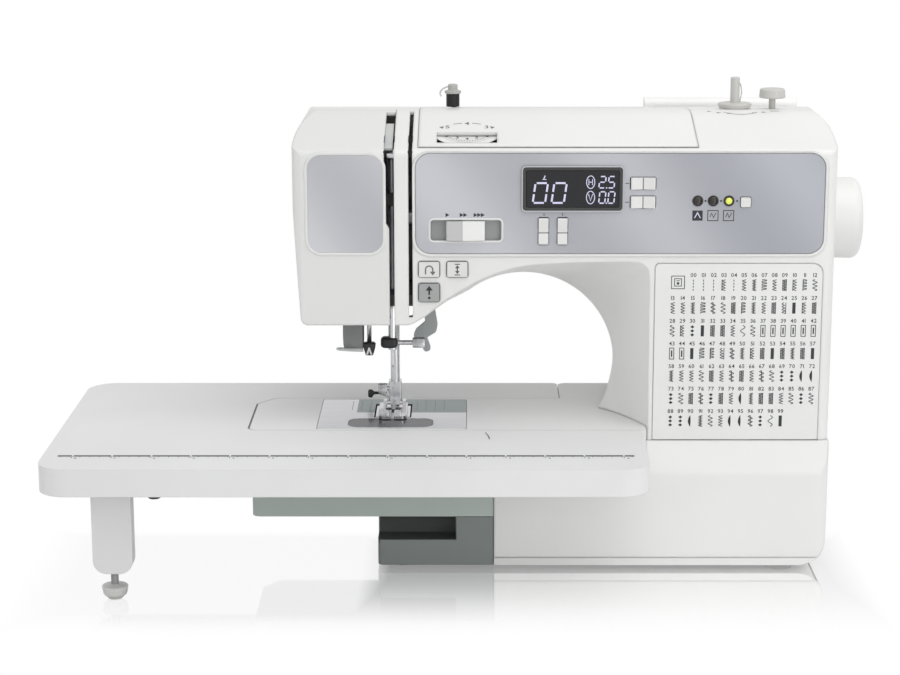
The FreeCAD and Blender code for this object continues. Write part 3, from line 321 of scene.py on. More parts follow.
plate_steel = brushed("plate_steel", (0.72, 0.72, 0.76), 0.30, edge=0.0003)
bed_steel = tinted(brushed("bed_steel", (0.74, 0.74, 0.77), 0.32, edge=0.0003), (
    # Painted shade: the needle plate darker behind Y 6 and right of X -76.5
    ((-76.5, 6, None), (None, None, None), (0.26, 0.30, 0.305)),))
cast_metal = moulded("cast_metal", (0.16, 0.16, 0.165), 0.6, drift=0.12, bump=0.4, pit=500.0)
bush_bronze = brushed("bush_bronze", (0.55, 0.40, 0.2), 0.4)
dark_ink = ink("dark_ink", (0.03, 0.03, 0.035))
grey_ink = ink("grey_ink", (0.16, 0.17, 0.18))
ruler_ink = ink("ruler_ink", (0.10, 0.105, 0.11))
seam_ink = ink("seam_ink", (0.10, 0.104, 0.104))
segment_ink = ink("segment_ink", (0.55, 0.55, 0.72), 0.4, 0.35)
lamp_off = ink("lamp_off", (0.035, 0.03, 0.025), 0.2)
lamp_lit = ink("lamp_lit", (0.62, 0.68, 0.12), 0.2, 0.45)
guide_finish = two_tone("guide_finish", (0.008, 0.008, 0.009), (0.44, 0.44, 0.42), "Z", 0.3108, 0.5)
threader_finish = two_tone("threader_finish", (0.21, 0.22, 0.22), (0.025, 0.025, 0.027), "X", -0.0716)
slider_finish = two_tone("slider_finish", (0.55, 0.555, 0.55), (0.84, 0.84, 0.83), "X", -0.0028)
guard_grey = moulded("guard_grey", (0.60, 0.61, 0.61), 0.4)

FINISHES = {
    casing_white: "rear_cover base_cover top_cover handwheel spool_pin",
    handle_white: "carry_handle", winder_grey: "bobbin_winder winder_stop",
    front_white: "front_cover face_cover",
    key_white: "reverse_button needle_button tens_key ones_key length_key width_key mode_button tension_dial",
    table_white: "extension_table bed_cover table_leg", chart_white: "stitch_chart",
    start_grey: "start_button", pan_white_and_painted_shade: "base_pan", arm_painted_shade: "free_arm", light_grey: "presser_lifter",
    foot_finish: "leg_foot",
    slider_finish: "speed_slider", threader_finish: "needle_threader", guide_finish: "winding_guide",
    silver_plate: "control_plate badge_plate", bezel_dark: "display_bezel",
    display_black: "display_glass", smoke_cover: "bobbin_cover",
    dark_plastic: "needle_clamp bobbin_case power_inlet power_switch",
    soft_rubber: "rubber_feet toothed_belts",
    bright_steel: "needle_bar needle presser_bar foot_holder presser_foot case_screws feed_dogs take_up_lever "
                  "clamp_screw holder_screw",
    bed_steel: "needle_plate", plate_steel: "main_shaft lower_shaft rotary_hook motor_pulley",
    cast_metal: "cast_frame drive_motor", bush_bronze: "shaft_bushes", board_green: "circuit_board",
}
for finish, names in FINISHES.items():
    for name in names.split():
        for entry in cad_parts[name].material_slots:
            entry.material = finish


# Pieces


def piece(name, points, faces, finish, body, slot, smooth=True):
    """Mesh object from points in millimetres, riding on a CAD body."""
    data = bpy.data.meshes.new(name)
    data.from_pydata((np.asarray(points, float) * MM).tolist(), [], faces)
    data.validate()
    if smooth:
        data.shade_smooth()
    data.materials.append(finish)
    made = bpy.data.objects.new(name, data)
    bpy.context.collection.objects.link(made)
    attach(made, body)
    return made


def grid_faces(rows, columns, wrap):
    """Quads of a grid of points; the columns close on themselves where wrap is true."""
    last = columns if wrap else columns - 1
    i, j = np.meshgrid(np.arange(rows - 1), np.arange(last), indexing="ij")
    k = (j + 1) % columns
    here, after = i * columns, (i + 1) * columns
    return np.stack((here + j, here + k, after + k, after + j), -1).reshape(-1, 4)


def capped(rows, sides):
    """Faces of a stack of rings, with a flat cap on the first ring and on the last."""
    count = rows * sides
    ends = [list(range(sides))[::-1], list(range(count - sides, count))]
    return grid_faces(rows, sides, True).tolist() + ends


def lathe(name, profile, axis, centre, finish, body, slot, sides=64, ridges=0, depth=0.0, band=None,
          closed=False):
    """Profile (radius, along) carried round an axis line: point = centre + r(t) in the ring's plane + along.

    With ridges, r(t) = r - depth (1 + cos(ridges t)) / 2 on the profile's rows from the first band row to
    just before the second. A closed profile ends where it starts and has no caps."""
    profile = np.asarray(profile, float)
    turn = np.linspace(0, 2 * np.pi, sides, endpoint=False)
    radius = np.repeat(profile[:, :1], sides, 1)
    if ridges:
        radius[slice(*band)] -= depth * (1 + np.cos(ridges * turn)) / 2
    u, v = radius * np.cos(turn), radius * np.sin(turn)
    along = np.repeat(profile[:, 1:], sides, 1)
    order = {"x": (along, u, v), "y": (v, along, u), "z": (u, v, along)}[axis]
    points = np.stack(order, -1).reshape(-1, 3) + np.asarray(centre, float)
    if closed:
        last = len(points) - sides
        faces = grid_faces(len(profile), sides, True)
        faces = np.where(faces >= last, faces - last, faces).tolist()
        points = points[:last]
    else:
        faces = capped(len(profile), sides)
    made = piece(name, points, faces, finish, body, slot)
    edges = made.modifiers.new("edges", "EDGE_SPLIT")
    edges.split_angle = math.radians(40)
    return made


def tube(name, path, radius, finish, body, slot, sides=14):
    """Round section carried along a path: point = path(s) + r (cos t a(s) + sin t b(s)).

    The directions a and b lie across the path, square to each other."""
    aside = (0.31, 0.87, 0.38)  # no path runs this way
    path = np.asarray(path, float)
    run = np.gradient(path, axis=0)
    run /= np.linalg.norm(run, axis=1)[:, None]
    side = np.cross(run, aside)
    side /= np.linalg.norm(side, axis=1)[:, None]
    up = np.cross(run, side)
    turn = np.linspace(0, 2 * np.pi, sides, endpoint=False)
    ring = np.cos(turn)[None, :, None] * side[:, None] + np.sin(turn)[None, :, None] * up[:, None]
    points = (path[:, None] + radius * ring).reshape(-1, 3)
    return piece(name, points, capped(len(path), sides), finish, body, slot)


def rings(rows, axis="z", power=3.0, sides=48):
    """Closed body of superellipses stacked along an axis, from rows of (along, a, b, half a, half b).

    The ring's coordinates are a + half a sgn(cos t) |cos t|^(2/p) and b + half b sgn(sin t) |sin t|^(2/p)."""
    rows = np.asarray(rows, float)
    turn = np.linspace(0, 2 * np.pi, sides, endpoint=False)
    c, s = (np.sign(w) * np.abs(w) ** (2 / power) for w in (np.cos(turn), np.sin(turn)))
    a = rows[:, 1:2] + rows[:, 3:4] * c
    b = rows[:, 2:3] + rows[:, 4:5] * s
    along = rows[:, :1] + 0 * c
    order = {"x": (along, a, b), "y": (b, along, a), "z": (a, b, along)}[axis]
    return np.stack(order, -1).reshape(-1, 3), capped(len(rows), sides)


def joined(shapes):
    """Several closed bodies as one set of points and faces."""
    points, faces, count = [], [], 0
    for corners, polygons in shapes:
        points.append(corners)
        faces += [[count + k for k in loop] for loop in polygons]
        count += len(corners)
    return np.vstack(points), faces


def round_loop(x0, x1, z0, z1, r, y, steps=12):
    """Closed rounded rectangle on an upright plane: four quarter turns joined by straight runs."""
    points = []
    corners = ((x1 - r, z1 - r, 0), (x0 + r, z1 - r, 90), (x0 + r, z0 + r, 180), (x1 - r, z0 + r, 270))
    for cx, cz, start in corners:
        turn = np.radians(np.linspace(start, start + 90, steps))
        points.append(np.stack((cx + r * np.cos(turn), y + 0 * turn, cz + r * np.sin(turn)), 1))
    return np.vstack(points)


def bead(name, loop, wide, high, finish, body, slot):
    """Half-round bead on a closed loop: point = loop(s) + wide cos t n(s) - high sin t y, n across the loop."""
    run = np.roll(loop, -1, 0) - np.roll(loop, 1, 0)
    run /= np.linalg.norm(run, axis=1)[:, None]
    across = np.cross(run, (0, 1, 0))
    turn = np.linspace(0, np.pi, 9)
    points = (loop[:, None] + wide * np.cos(turn)[None, :, None] * across[:, None]
              - high * np.sin(turn)[None, :, None] * np.array((0, 1, 0)))
    total = len(loop) * len(turn)
    faces = grid_faces(len(loop) + 1, len(turn), False)
    faces = np.where(faces >= total, faces - total, faces)
    return piece(name, points.reshape(-1, 3), faces.tolist(), finish, body, slot)


def plank(name, x0, x1, path, thick, finish, body, slot):
    """Strip of even thickness: (x, path(s)) on top and the same path lowered below."""
    loops = [[(x0, y, z), (x1, y, z), (x1, y, z - thick), (x0, y, z - thick)] for y, z in path]
    points = np.array(loops, float).reshape(-1, 3)
    last = len(points) - 1
    faces = grid_faces(len(path), 4, True).tolist() + [[0, 1, 2, 3], [last, last - 1, last - 2, last - 3]]
    return piece(name, points, faces, finish, body, slot, smooth=False)


# Flat prints: shapes in a plane, lifted a little off the surface that carries them


def ribbon(path, width, closed=False):
    """Stroke of even width along a flat path: each side lies half the width across the path's direction."""
    path = np.asarray(path, float)
    if closed:
        path = np.vstack((path, path[:1]))
    run = np.diff(path, axis=0)
    run /= np.maximum(np.linalg.norm(run, axis=1), 1e-9)[:, None]
    joints = np.vstack((run[:1], (run[:-1] + run[1:]) / 2, run[-1:]))
    if closed:
        joints[0] = joints[-1] = (run[0] + run[-1]) / 2
    size = np.maximum(np.linalg.norm(joints, axis=1), 0.45)[:, None]
    across = np.stack((-joints[:, 1], joints[:, 0]), 1) / size ** 2 * width / 2
    points = np.vstack((path - across, path + across))
    n = len(path)
    i = np.arange(n - 1)
    return points, np.stack((i, i + 1, n + i + 1, n + i), 1).tolist()


def polygon(corners):
    """Filled flat shape with its corners in order."""
    corners = np.asarray(corners, float)
    return corners, [list(range(len(corners)))]


def disc(u, v, radius, sides=32):
    """Filled circle with corners (u + r cos t, v + r sin t)."""
    turn = np.linspace(0, 2 * np.pi, sides, endpoint=False)
    return polygon(np.stack((u + radius * np.cos(turn), v + radius * np.sin(turn)), 1))


def ring(u, v, radius, width, start=0.0, end=360.0):
    """Stroke along the arc (u + r cos t, v + r sin t), with t from start to end in degrees."""
    turn = np.radians(np.linspace(start, end, 49))
    return ribbon(np.stack((u + radius * np.cos(turn), v + radius * np.sin(turn)), 1), width)


def frame_line(u0, u1, v0, v1, width):
    """Stroke round a rectangle."""
    return ribbon(((u0, v0), (u1, v0), (u1, v1), (u0, v1)), width, True)


GLYPHS = {}
SPACE = 0.14  # between two numerals, as a share of their height


def glyph(character):
    """Outline of a plain numeral as flat triangles one unit high, kept for reuse."""
    if character not in GLYPHS:
        curve = bpy.data.curves.new("numeral", "FONT")
        curve.body = character
        curve.resolution_u = 3
        curve.offset = 0.012
        holder = bpy.data.objects.new("numeral", curve)
        data = bpy.data.meshes.new_from_object(holder)
        points = np.empty(len(data.vertices) * 3)
        data.vertices.foreach_get("co", points)
        points = points.reshape(-1, 3)[:, :2]
        low, high = points.min(0), points.max(0)
        unit = 0.7 if character in ".-" else high[1] - low[1]
        GLYPHS[character] = ((points - (low[0], 0)) / unit, [list(p.vertices) for p in data.polygons],
                             (high[0] - low[0]) / unit)
        bpy.data.objects.remove(holder)
        bpy.data.curves.remove(curve)
        bpy.data.meshes.remove(data)
    return GLYPHS[character]


def numeral(text, u, v, height):
    """Numerals centred on u, standing on v."""
    width = sum(glyph(c)[2] + SPACE for c in text) - SPACE
    left = -width / 2
    shapes = []
    for character in text:
        points, faces, wide = glyph(character)
        shapes.append(((points + (left, 0)) * height + (u, v), faces))
        left += wide + SPACE
    return shapes


def prints(name, shapes, origin, along, up, finish, body="machine", slot="black_plastic"):
    """One mesh of flat shapes: point = origin + u along + v up."""
    origin, along, up = (np.asarray(a, float) for a in (origin, along, up))
    points, faces, count = [], [], 0
    for corners, polygons in shapes:
        points.append(origin + corners[:, :1] * along + corners[:, 1:] * up)
        for loop in polygons:
            u, v = corners[loop].T
            turn = np.sum(u * np.roll(v, -1) - v * np.roll(u, -1))
            faces.append([count + k for k in (loop if turn > 0 else loop[::-1])])
        count += len(corners)
    return piece(name, np.vstack(points), faces, finish, body, slot, smooth=False)


def on_front(name, shapes, depth, finish, body="machine", slot="black_plastic"):
    """Prints on an upright front face at depth y."""
    return prints(name, shapes, (0, depth, 0), (1, 0, 0), (0, 0, 1), finish, body, slot)


# Stitch chart: numbers over small stitch drawings


def stitch(kind, u, v, width, height):
    """A stitch drawing in a small box: strokes x(t) across and z = t up, or filled blocks, bars and leaves."""
    t = np.linspace(0, 1, 29)
    saw = np.abs(((t * 4) % 1) - 0.5) * 2
    fine = np.abs(((t * 7) % 1) - 0.5) * 2
    step = np.floor(t * 8) % 2
    wave = 0.5 + 0.5 * np.sin(t * 6 * np.pi)
    slow = 0.5 + 0.5 * np.sin(t * 3 * np.pi)
    edge = 0.1 + 0 * t
    strokes = {
        1: [saw], 2: [edge, edge + saw * 0.8], 3: [wave], 4: [step], 5: [edge, edge + step * 0.8], 6: [fine],
        8: [0.5 + 0 * t, wave], 9: [saw * (1 - t * 0.5), 0.95 + 0 * t], 10: [edge, 0.9 + 0 * t, fine],
        13: [slow], 15: [0.5 - 0.45 * np.sin(t * np.pi)],
    }.get(kind, [])
    lines = [ribbon(np.stack((u + (c - 0.5) * width, v + t * height), 1), 0.5) for c in strokes]
    if kind == 0:
        for h in (0, 0.28, 0.56, 0.83):
            lines.append(ribbon(((u, v + h * height), (u, v + (h + 0.17) * height)), 0.55))
    if kind == 11:
        lines.append(ribbon(((u, v), (u, v + height)), width * 0.75))
    if kind == 12:
        lines.append(frame_line(u - width / 2, u + width / 2, v, v + height, 0.5))
        lines.append(ribbon(((u, v + 0.2 * height), (u, v + 0.8 * height)), 0.9))
    if kind == 14:
        w, d = width * 0.46, height * 0.15
        for middle in (v + h * height for h in (0.14, 0.5, 0.86)):
            lines.append(polygon(((u - w, middle), (u, middle - d), (u + w, middle), (u, middle + d))))
    if kind == 15:
        bow = width * 0.45 * np.sin(t * np.pi)
        left = np.stack((u - bow, v + t * height), 1)
        right = np.stack((u + bow * 0.2, v + t * height), 1)[::-1]
        lines.append(polygon(np.vstack((left, right[1:-1]))))
    return lines


KINDS = (
    (0, 0, 0, 2, 0, 1, 6, 4, 1, 10, 2, 5, 3),
    (1, 1, 6, 4, 8, 3, 10, 5, 6, 1, 10, 9, 11, 2, 10),
    (3, 2, 14, 11, 10, 10, 1, 13, 3, 12, 12, 12, 12, 12, 12),
    (12, 12, 11, 4, 5, 9, 8, 6, 2, 10, 11, 10, 6, 10, 11),
    (6, 1, 1, 3, 10, 1, 8, 10, 1, 8, 3, 14, 14, 15, 15),
    (14, 3, 10, 8, 14, 10, 1, 15, 6, 10, 10, 1, 3, 14, 3),
    (14, 14, 15, 6, 3, 1, 15, 15, 8, 14, 13, 11),
)
COLUMNS = np.linspace(137.4, 232.0, 15)
TOP_ROW, ROW_STEP = 201.6, 15.6
numbers, drawings, count = [], [], 0
for row, kinds in enumerate(KINDS):
    level = TOP_ROW - ROW_STEP * row
    used = COLUMNS if row else COLUMNS[2:]  # a sign stands in the first places of the top row
    for u, kind in zip(used, kinds):
        numbers += numeral("%02d" % count, u, level, 2.7)
        drawings += stitch(kind, u, level - 9.4, 2.9, 7.6)
        count += 1
numbers += [frame_line(136.4, 145.0, 193.6, 202.2, 0.5), frame_line(138.4, 143.0, 195.4, 200.4, 0.5)]
numbers += [ribbon(((139.6, 199.0), (141.8, 199.0)), 0.5), disc(140.7, 197.2, 0.9)]
on_front("chart_numbers", numbers, PLATE - LIFT, dark_ink)
on_front("chart_stitches", drawings, PLATE - LIFT, dark_ink)

# Display segments
SEGMENTS = {"0": "abcdef", "1": "bc", "2": "abged", "5": "afgcd", ".": "."}
STROKES = {"a": ((0, 1), (1, 1)), "b": ((1, 1), (1, 0.5)), "c": ((1, 0.5), (1, 0)), "d": ((0, 0), (1, 0)),
           "e": ((0, 0), (0, 0.5)), "f": ((0, 0.5), (0, 1)), "g": ((0, 0.5), (1, 0.5))}


def segments(text, u, v, height, width, gap, stroke, lean):
    """Seven-segment digits: each segment is a short stroke shortened at both ends and leaned aslant."""
    shapes = []
    for character in text:
        if character == ".":
            shapes.append(disc(u - gap * 0.45, v, stroke * 0.6, 12))
            continue
        for segment in SEGMENTS[character]:
            a, b = (np.array(p) * (width, height) for p in STROKES[segment])
            trim = (b - a) / np.linalg.norm(b - a) * stroke * 0.62
            a, b = a + trim, b - trim
            path = np.stack((a, b))
            path[:, 0] += u + path[:, 1] * lean
            path[:, 1] += v
            shapes.append(ribbon(path, stroke))
        u += width + gap
    return shapes


LARGE = (13.2, 8.2, 4.2, 1.25, 0.14)  # height, width, gap, stroke and lean of the digits
SMALL = (7.6, 4.0, 2.0, 0.85, 0.1)
digits = segments("00", 43.4, 251.6, *LARGE)
digits += segments("2.5", 87.0, 261.6, *SMALL) + segments("0.0", 87.0, 251.4, *SMALL)
turn = np.linspace(0, 2 * np.pi, 33)[:-1]
for level in (265.4, 255.2):
    digits.append(ribbon(np.stack((81.6 + 2.7 * np.cos(turn), level + 4.2 * np.sin(turn)), 1), 0.55, True))
for path in (((80.4, 267.4), (80.4, 263.4)), ((82.8, 267.4), (82.8, 263.4)), ((80.4, 265.4), (82.8, 265.4)),
             ((80.2, 257.6), (81.6, 253.0), (83.0, 257.6))):
    digits.append(ribbon(path, 0.5))
digits += [ribbon(((50.6, 267.4), (51.6, 269.8)), 0.7), ribbon(((49.8, 267.2), (52.4, 267.2)), 0.5)]
on_front("display_segments", digits, GLASS - LIFT, segment_ink, slot="display_black")

# Marks and lamps on the control plate
LAMPS, LAMP_Z = (152.6, 162.8, 173.2), 252.8
SIGN_LOW, SIGN_TOP, SIGN_HALF = 239.6, 246.4, 3.4  # boxes of the signs under the lamps
marks = []
for start, many in ((-14.2, 1), (-4.8, 2), (4.4, 3)):
    for k in range(many):
        u = start + 2.4 * k
        marks.append(polygon(((u, 242.0), (u + 2.6, 243.4), (u, 244.8))))
for u in (51.0, 63.3):
    marks.append(ribbon(((u, 242.9), (u, 244.6)), 0.5))
for v in (264.5, 252.0):
    marks.append(ribbon(((104.6, v), (107.0, v)), 0.5))
left, right = LAMPS[0] - SIGN_HALF, LAMPS[0] + SIGN_HALF
marks.append(polygon(((left, SIGN_LOW), (right, SIGN_LOW), (right, SIGN_TOP), (left, SIGN_TOP))))
for u in LAMPS[1:]:
    marks.append(frame_line(u - SIGN_HALF, u + SIGN_HALF, SIGN_LOW, SIGN_TOP, 0.55))
    marks.append(ribbon(((u - 2.0, 242.0), (u - 0.8, 244.6), (u + 0.4, 241.6), (u + 2.0, 244.8)), 0.5))
for u in (157.7, 168.0, 178.6):
    marks.append(polygon(((u - 0.9, 252.8), (u, 252.0), (u + 0.9, 252.8), (u, 253.6))))
on_front("panel_marks", marks, PLATE - LIFT, dark_ink)
peak = ribbon(((LAMPS[0] - 1.9, 241.4), (LAMPS[0], 245.0), (LAMPS[0] + 1.9, 241.4)), 0.6)
on_front("lamp_sign", [peak], PLATE - 0.1, segment_ink)
for k, u in enumerate(LAMPS):
    lit = k == 2
    inner = 2.2 if lit else 2.9
    rise = np.linspace(0, np.pi / 2, 9)[1:]
    dome = [(0.02, PLATE - 2.0)] + [(inner * np.sin(a), PLATE - 0.4 - 1.6 * np.cos(a)) for a in rise]
    lathe("lamp_%d" % k, dome + [(inner, PLATE)], "y", (u, 0, LAMP_Z), lamp_lit if lit else lamp_off,
          "machine", "display_black", 40)
    rim = ((3.7, PLATE), (inner + 0.1, PLATE), (inner + 0.1, PLATE - 0.6), (3.5, PLATE - 0.6), (3.7, PLATE))
    lathe("lamp_rim_%d" % k, rim, "y", (u, 0, LAMP_Z), lamp_off, "machine", "display_black", 40, closed=True)

# Beads round the slider slot, the head's plate and the display
bead("slot_bead", round_loop(-25.0, 23.5, 225.4, 240.6, 3.0, PLATE + 0.1), 0.7, 0.8, key_white, "machine",
     "white_casing")
bead("badge_bead", round_loop(-106.6, -54.9, 216.9, 284.1, 10.2, FRONT + 0.1), 1.2, 0.8, key_white, "machine",
     "white_casing")
low, high = (np.array(corner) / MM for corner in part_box("display_bezel"))
inset = 0.4
loop = round_loop(low[0] + inset, high[0] - inset, low[2] + inset, high[2] - inset, 2.6, low[1] + 0.05)
bead("bezel_line", loop, 0.45, 0.35, bezel_silver, "machine", "bezel_silver")

# Finger halves of the rocker keys
KEY_PRINT = -34.26  # plane of the line across the middle of a key
for name, body, u, v, across in (
        ("tens_groove", "tens", 50.7, 232.5, False), ("ones_groove", "ones", 63.3, 232.5, False),
        ("length_groove", "stitch_length", 116.3, 264.5, True),
        ("width_groove", "stitch_width", 116.3, 252.0, True)):
    path = ((u, v - 4.0), (u, v + 4.0)) if across else ((u - 3.3, v - 1), (u + 3.3, v - 1))
    on_front(name, [ribbon(path, 0.7)], KEY_PRINT, grey_ink, body)

# Signs on the push buttons and the shadow gaps round them
SIGN = BUTTON - LIFT
turned_back = [
    ring(-25.2, 206.8, 2.4, 0.9, 0, 180), ribbon(((-27.6, 206.8), (-27.6, 203.6)), 0.9),
    ribbon(((-22.8, 206.8), (-22.8, 205.2)), 0.9), polygon(((-24.7, 205.4), (-22.8, 202.8), (-20.9, 205.4)))]
on_front("reverse_sign", turned_back, SIGN, grey_ink, "reverse_key")
up_down = [ribbon(((-8.2, 210.4), (-4.6, 210.4)), 0.7), ribbon(((-8.2, 203.2), (-4.6, 203.2)), 0.7),
           ribbon(((-6.4, 205.0), (-6.4, 208.6)), 0.8), polygon(((-8.0, 207.8), (-4.8, 207.8), (-6.4, 209.8))),
           polygon(((-8.0, 205.8), (-6.4, 203.8), (-4.8, 205.8)))]
on_front("needle_sign", up_down, SIGN, grey_ink, "needle_key")
go = [ribbon(((-25.2, 189.6), (-25.2, 193.2)), 1.1), polygon(((-27.6, 192.6), (-22.8, 192.6), (-25.2, 195.8))),
      disc(-25.2, 187.6, 0.9)]
on_front("start_sign", go, SIGN, dark_ink, "start_key")
gaps = []
for name in ("reverse_button", "needle_button", "start_button"):
    low, high = (np.array(corner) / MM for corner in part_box(name))
    loop = round_loop(low[0] - 0.3, high[0] + 0.3, low[2] - 0.3, high[2] + 0.3, 1.8, 0, 6)
    gaps.append(ribbon(loop[:, ::2], 0.8, True))
on_front("button_gaps", gaps, FRONT - 0.05, grey_ink)

# Ruler on the table and lines on the needle plate
NEEDLE_X = -51.2
RULER_Y = -104.6
RULER_LEFT, RULER_RIGHT = -264.6, 108.6
inches = NEEDLE_X + INCH * np.arange(-8, 7)
inches = inches[(inches > -262) & (inches < 107)]
stops = np.concatenate(([RULER_LEFT], inches, [RULER_RIGHT]))
ruler = [ribbon(((a + 0.6, RULER_Y), (b - 0.6, RULER_Y)), 3.2) for a, b in zip(stops[:-1], stops[1:])]
for u in inches:
    ruler.append(ribbon(((u, -106.0), (u, -109.6)), 0.55))
    ruler += numeral("%d" % round(abs(u - NEEDLE_X) / INCH), u + 2.6, -111.2, 2.6)
for u in np.arange(-262.0, 108.0, INCH / 4):
    ruler.append(ribbon(((u, -106.2), (u, -107.9)), 0.35))
prints("table_ruler", ruler, (0, 0, BED + LIFT), (1, 0, 0), (0, 1, 0), ruler_ink, "table")
seam = [ribbon(((-147.7, -37.0), (-147.7, 30.0)), 1.0),
        ribbon(((12.4, -47.0), (14.2, -56.0), (15.0, -64.0)), 0.9)]
prints("table_seam", seam, (0, 0, BED + 0.05), (1, 0, 0), (0, 1, 0), seam_ink, "table")
lines = [ribbon(((u, 12.0), (u, 38.0)), 0.35) for u in (-35.0, -28.7, -22.3, -16.0, -67.4, -73.7, -80.0)]
prints("plate_lines", lines, (0, 0, BED + 0.05), (1, 0, 0), (0, 1, 0), grey_ink)

# Dial scale in the window of the top cover
SLOPE = math.atan2(19.0, 65.0)
DIAL_DROP = 2.9  # from the lid's face straight down to the plane of the dial's scale
dial_up = np.array((0, math.cos(SLOPE), math.sin(SLOPE)))
dial_out = np.array((0, -math.sin(SLOPE), math.cos(SLOPE)))
dial_face = np.array((0, 4.0, 286 + math.tan(SLOPE) * 37 - DIAL_DROP))
scale = []
for k in range(-7, 8):
    angle = math.radians(-90 + 7 * k)
    scale.append(disc(15.2 * math.cos(angle), 15.2 * math.sin(angle), 0.45, 12))
for k, text in ((-1, "3"), (0, "4"), (1, "5")):
    angle = math.radians(-90 + 33 * k)
    scale += numeral(text, 12.0 * math.cos(angle), 12.0 * math.sin(angle) - 1.4, 3.4)
for side in (-1, 1):
    angle = math.radians(-90 + 62 * side)
    a = np.array((math.cos(angle), math.sin(angle)))
    b = np.array((-a[1], a[0]))
    scale.append(polygon((a * 12.0, a * 16.4 + b * 1.6, a * 16.4 - b * 1.6)))
prints("dial_surround", [ring(0, 0, 20.4, 5.6)], dial_face, (1, 0, 0), dial_up, casing_white, "machine",
       "white_casing")
prints("dial_scale", scale, dial_face + dial_out * LIFT, (1, 0, 0), dial_up, dark_ink, "dial")

# Arc, numerals and arrows on the lid beside the window
lid_face = dial_face + dial_out * (DIAL_DROP * math.cos(SLOPE) + LIFT)
arc = []
for start, end in ((98, 113), (67, 82)):
    turn = np.radians(np.linspace(start, end, 12))
    arc.append(ribbon(np.stack((24 * np.cos(turn), 24 * np.sin(turn) - 16), 1), 0.8))
for text, angle in (("5", 131), ("4", 90), ("3", 49)):
    turn = math.radians(angle)
    arc += numeral(text, 20 * math.cos(turn), 23.5 * math.sin(turn) - 18.4, 4.8)
for side in (-1, 1):
    arc.append(polygon(((side * 15.4, 2.6), (side * 18.8, 1.4), (side * 16.6, -1.6))[::side]))
prints("lid_marks", arc, lid_face, (1, 0, 0), dial_up, grey_ink, "lid")

# Grey guard under the top of the left thread slot
guard = ((-23.0, 286.2), (-8.0, 290.6), (8.0, 295.2), (18.0, 297.6))
plank("slot_guard", -55.1, -49.4, guard, 1.2, guard_grey, "machine", "grey_casing")

# Small marks round the winder, laid on the casing's crest, which is a circle between two slopes
CREST_Y, CREST_Z, CREST_RADIUS = 38.38, 244.35, 60.0
arrows = []
for u, v in ((166, 33), (172, 29.5), (179, 28), (196, 28.5), (203, 30.5)):
    arrows.append(polygon(((u - 1.2, v - 1.2), (u + 1.8, v), (u - 1.2, v + 1.2))))
arrows += [ring(187, 41, 15.5, 0.6, 222, 318), ribbon(((208, 34), (214, 34)), 1.0)]
made = prints("winder_marks", arrows, (0, 0, 0), (1, 0, 0), (0, 1, 0), grey_ink)
spots = np.empty(len(made.data.vertices) * 3)
made.data.vertices.foreach_get("co", spots)
spots = spots.reshape(-1, 3)
crest = CREST_Z + np.sqrt(CREST_RADIUS ** 2 - (spots[:, 1] / MM - CREST_Y) ** 2)
spots[:, 2] = (crest + 0.1) * MM
made.data.vertices.foreach_set("co", spots.ravel())

# Winding guide hook and winder spring
s = np.linspace(0, 1, 30)
hook = np.stack((-10 - 9.0 * np.sin(s * np.pi * 0.62), 84 + 0 * s, 316.2 - 7.5 * s ** 1.6), 1)
tube("guide_hook", hook, 0.55, bright_steel, "machine", "bright_steel")
s = np.linspace(0, 1, 24)
spring = np.stack((189.3 + 1.3 * np.sin(s * np.pi), 55 + 0 * s, 308.4 + 13.0 * s), 1)
tube("winder_spring", spring, 0.45, bright_steel, "winder", "bright_steel")

# Bumper under the table's front edge
bumper = ((0.05, 77.0), (3.6, 77.0), (4.4, 77.8), (4.6, 80.5), (4.6, 95.2))
lathe("table_bumper", bumper, "z", (-199, -128, 0), soft_rubber, "table", "rubber", 40)

# Knurled thumb screws stand for the plain solids
KNOB = 3.6  # radius
for name, body, stem, inner, outer, y, z in (
        ("clamp_screw", "needle_set", -47.5, -37.5, -29.0, 7, 147.6),
        ("holder_screw", "presser", -54.4, -55.8, -62.0, 19, 112)):
    sign = 1 if outer > inner else -1
    rows = ((1.6, stem), (1.6, inner), (KNOB - 0.4, inner), (KNOB, inner + sign * 0.6),
            (KNOB, outer - sign * 0.8), (KNOB - 0.5, outer), (1.5, outer), (1.4, outer - sign * 0.6))
    made = lathe(name + "_knurled", rows[::sign], "x", (0, y, z), bright_steel, body, "bright_steel",
                 160, 26, 0.35, (3, 5))
    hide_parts(name)

# Rounded clamp, and threader with a bent toe and a tapered head, stand for the plain solids
s = np.linspace(0, 1, 12)
bend = np.sin(s * np.pi / 2)
barrel = 1 - 0.22 * np.abs(2 * s - 1) ** 5
collar = np.stack((144.4 + 7.0 * s, -53.6 + 0 * s, 7 + 0 * s, 5.9 * barrel, 4.8 * barrel), 1)
made = piece("clamp_collar", *rings(collar, power=3.4), dark_plastic, "needle_set", "black_plastic")
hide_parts("needle_clamp")
sheet = [(-2.0, 177, -77.7, 32.6, 6.9), (-1.7, 177, -77.7, 33.0, 7.3), (-0.7, 177, -77.7, 33.0, 7.3),
         (-0.4, 177, -77.7, 32.6, 6.9)]
toe = np.stack((-89.4 + 18.2 * s, -3.6 + 2.2 * s, 145.6 - 1.2 * bend, 2.9 - 1.4 * s, 0.9 + 0.4 * s), 1)
toe[0, 3:] *= 0.6
head = np.stack((140.6 + 8.7 * s, -67 + 0 * s, 0 * s, 2.6 + 1.8 * bend, 2.4 + 1.5 * bend), 1)
head[-1, 3:] *= 0.8
stem = [(141.0, -67, 0, 1.6, 1.6), (209.8, -67, 0, 1.6, 1.6)]
sheet_and_head = joined((rings(sheet, "y", 9), rings(head)))
made = piece("threader_arm", *sheet_and_head, threader_finish, "threader", "grey_casing")
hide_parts("needle_threader")
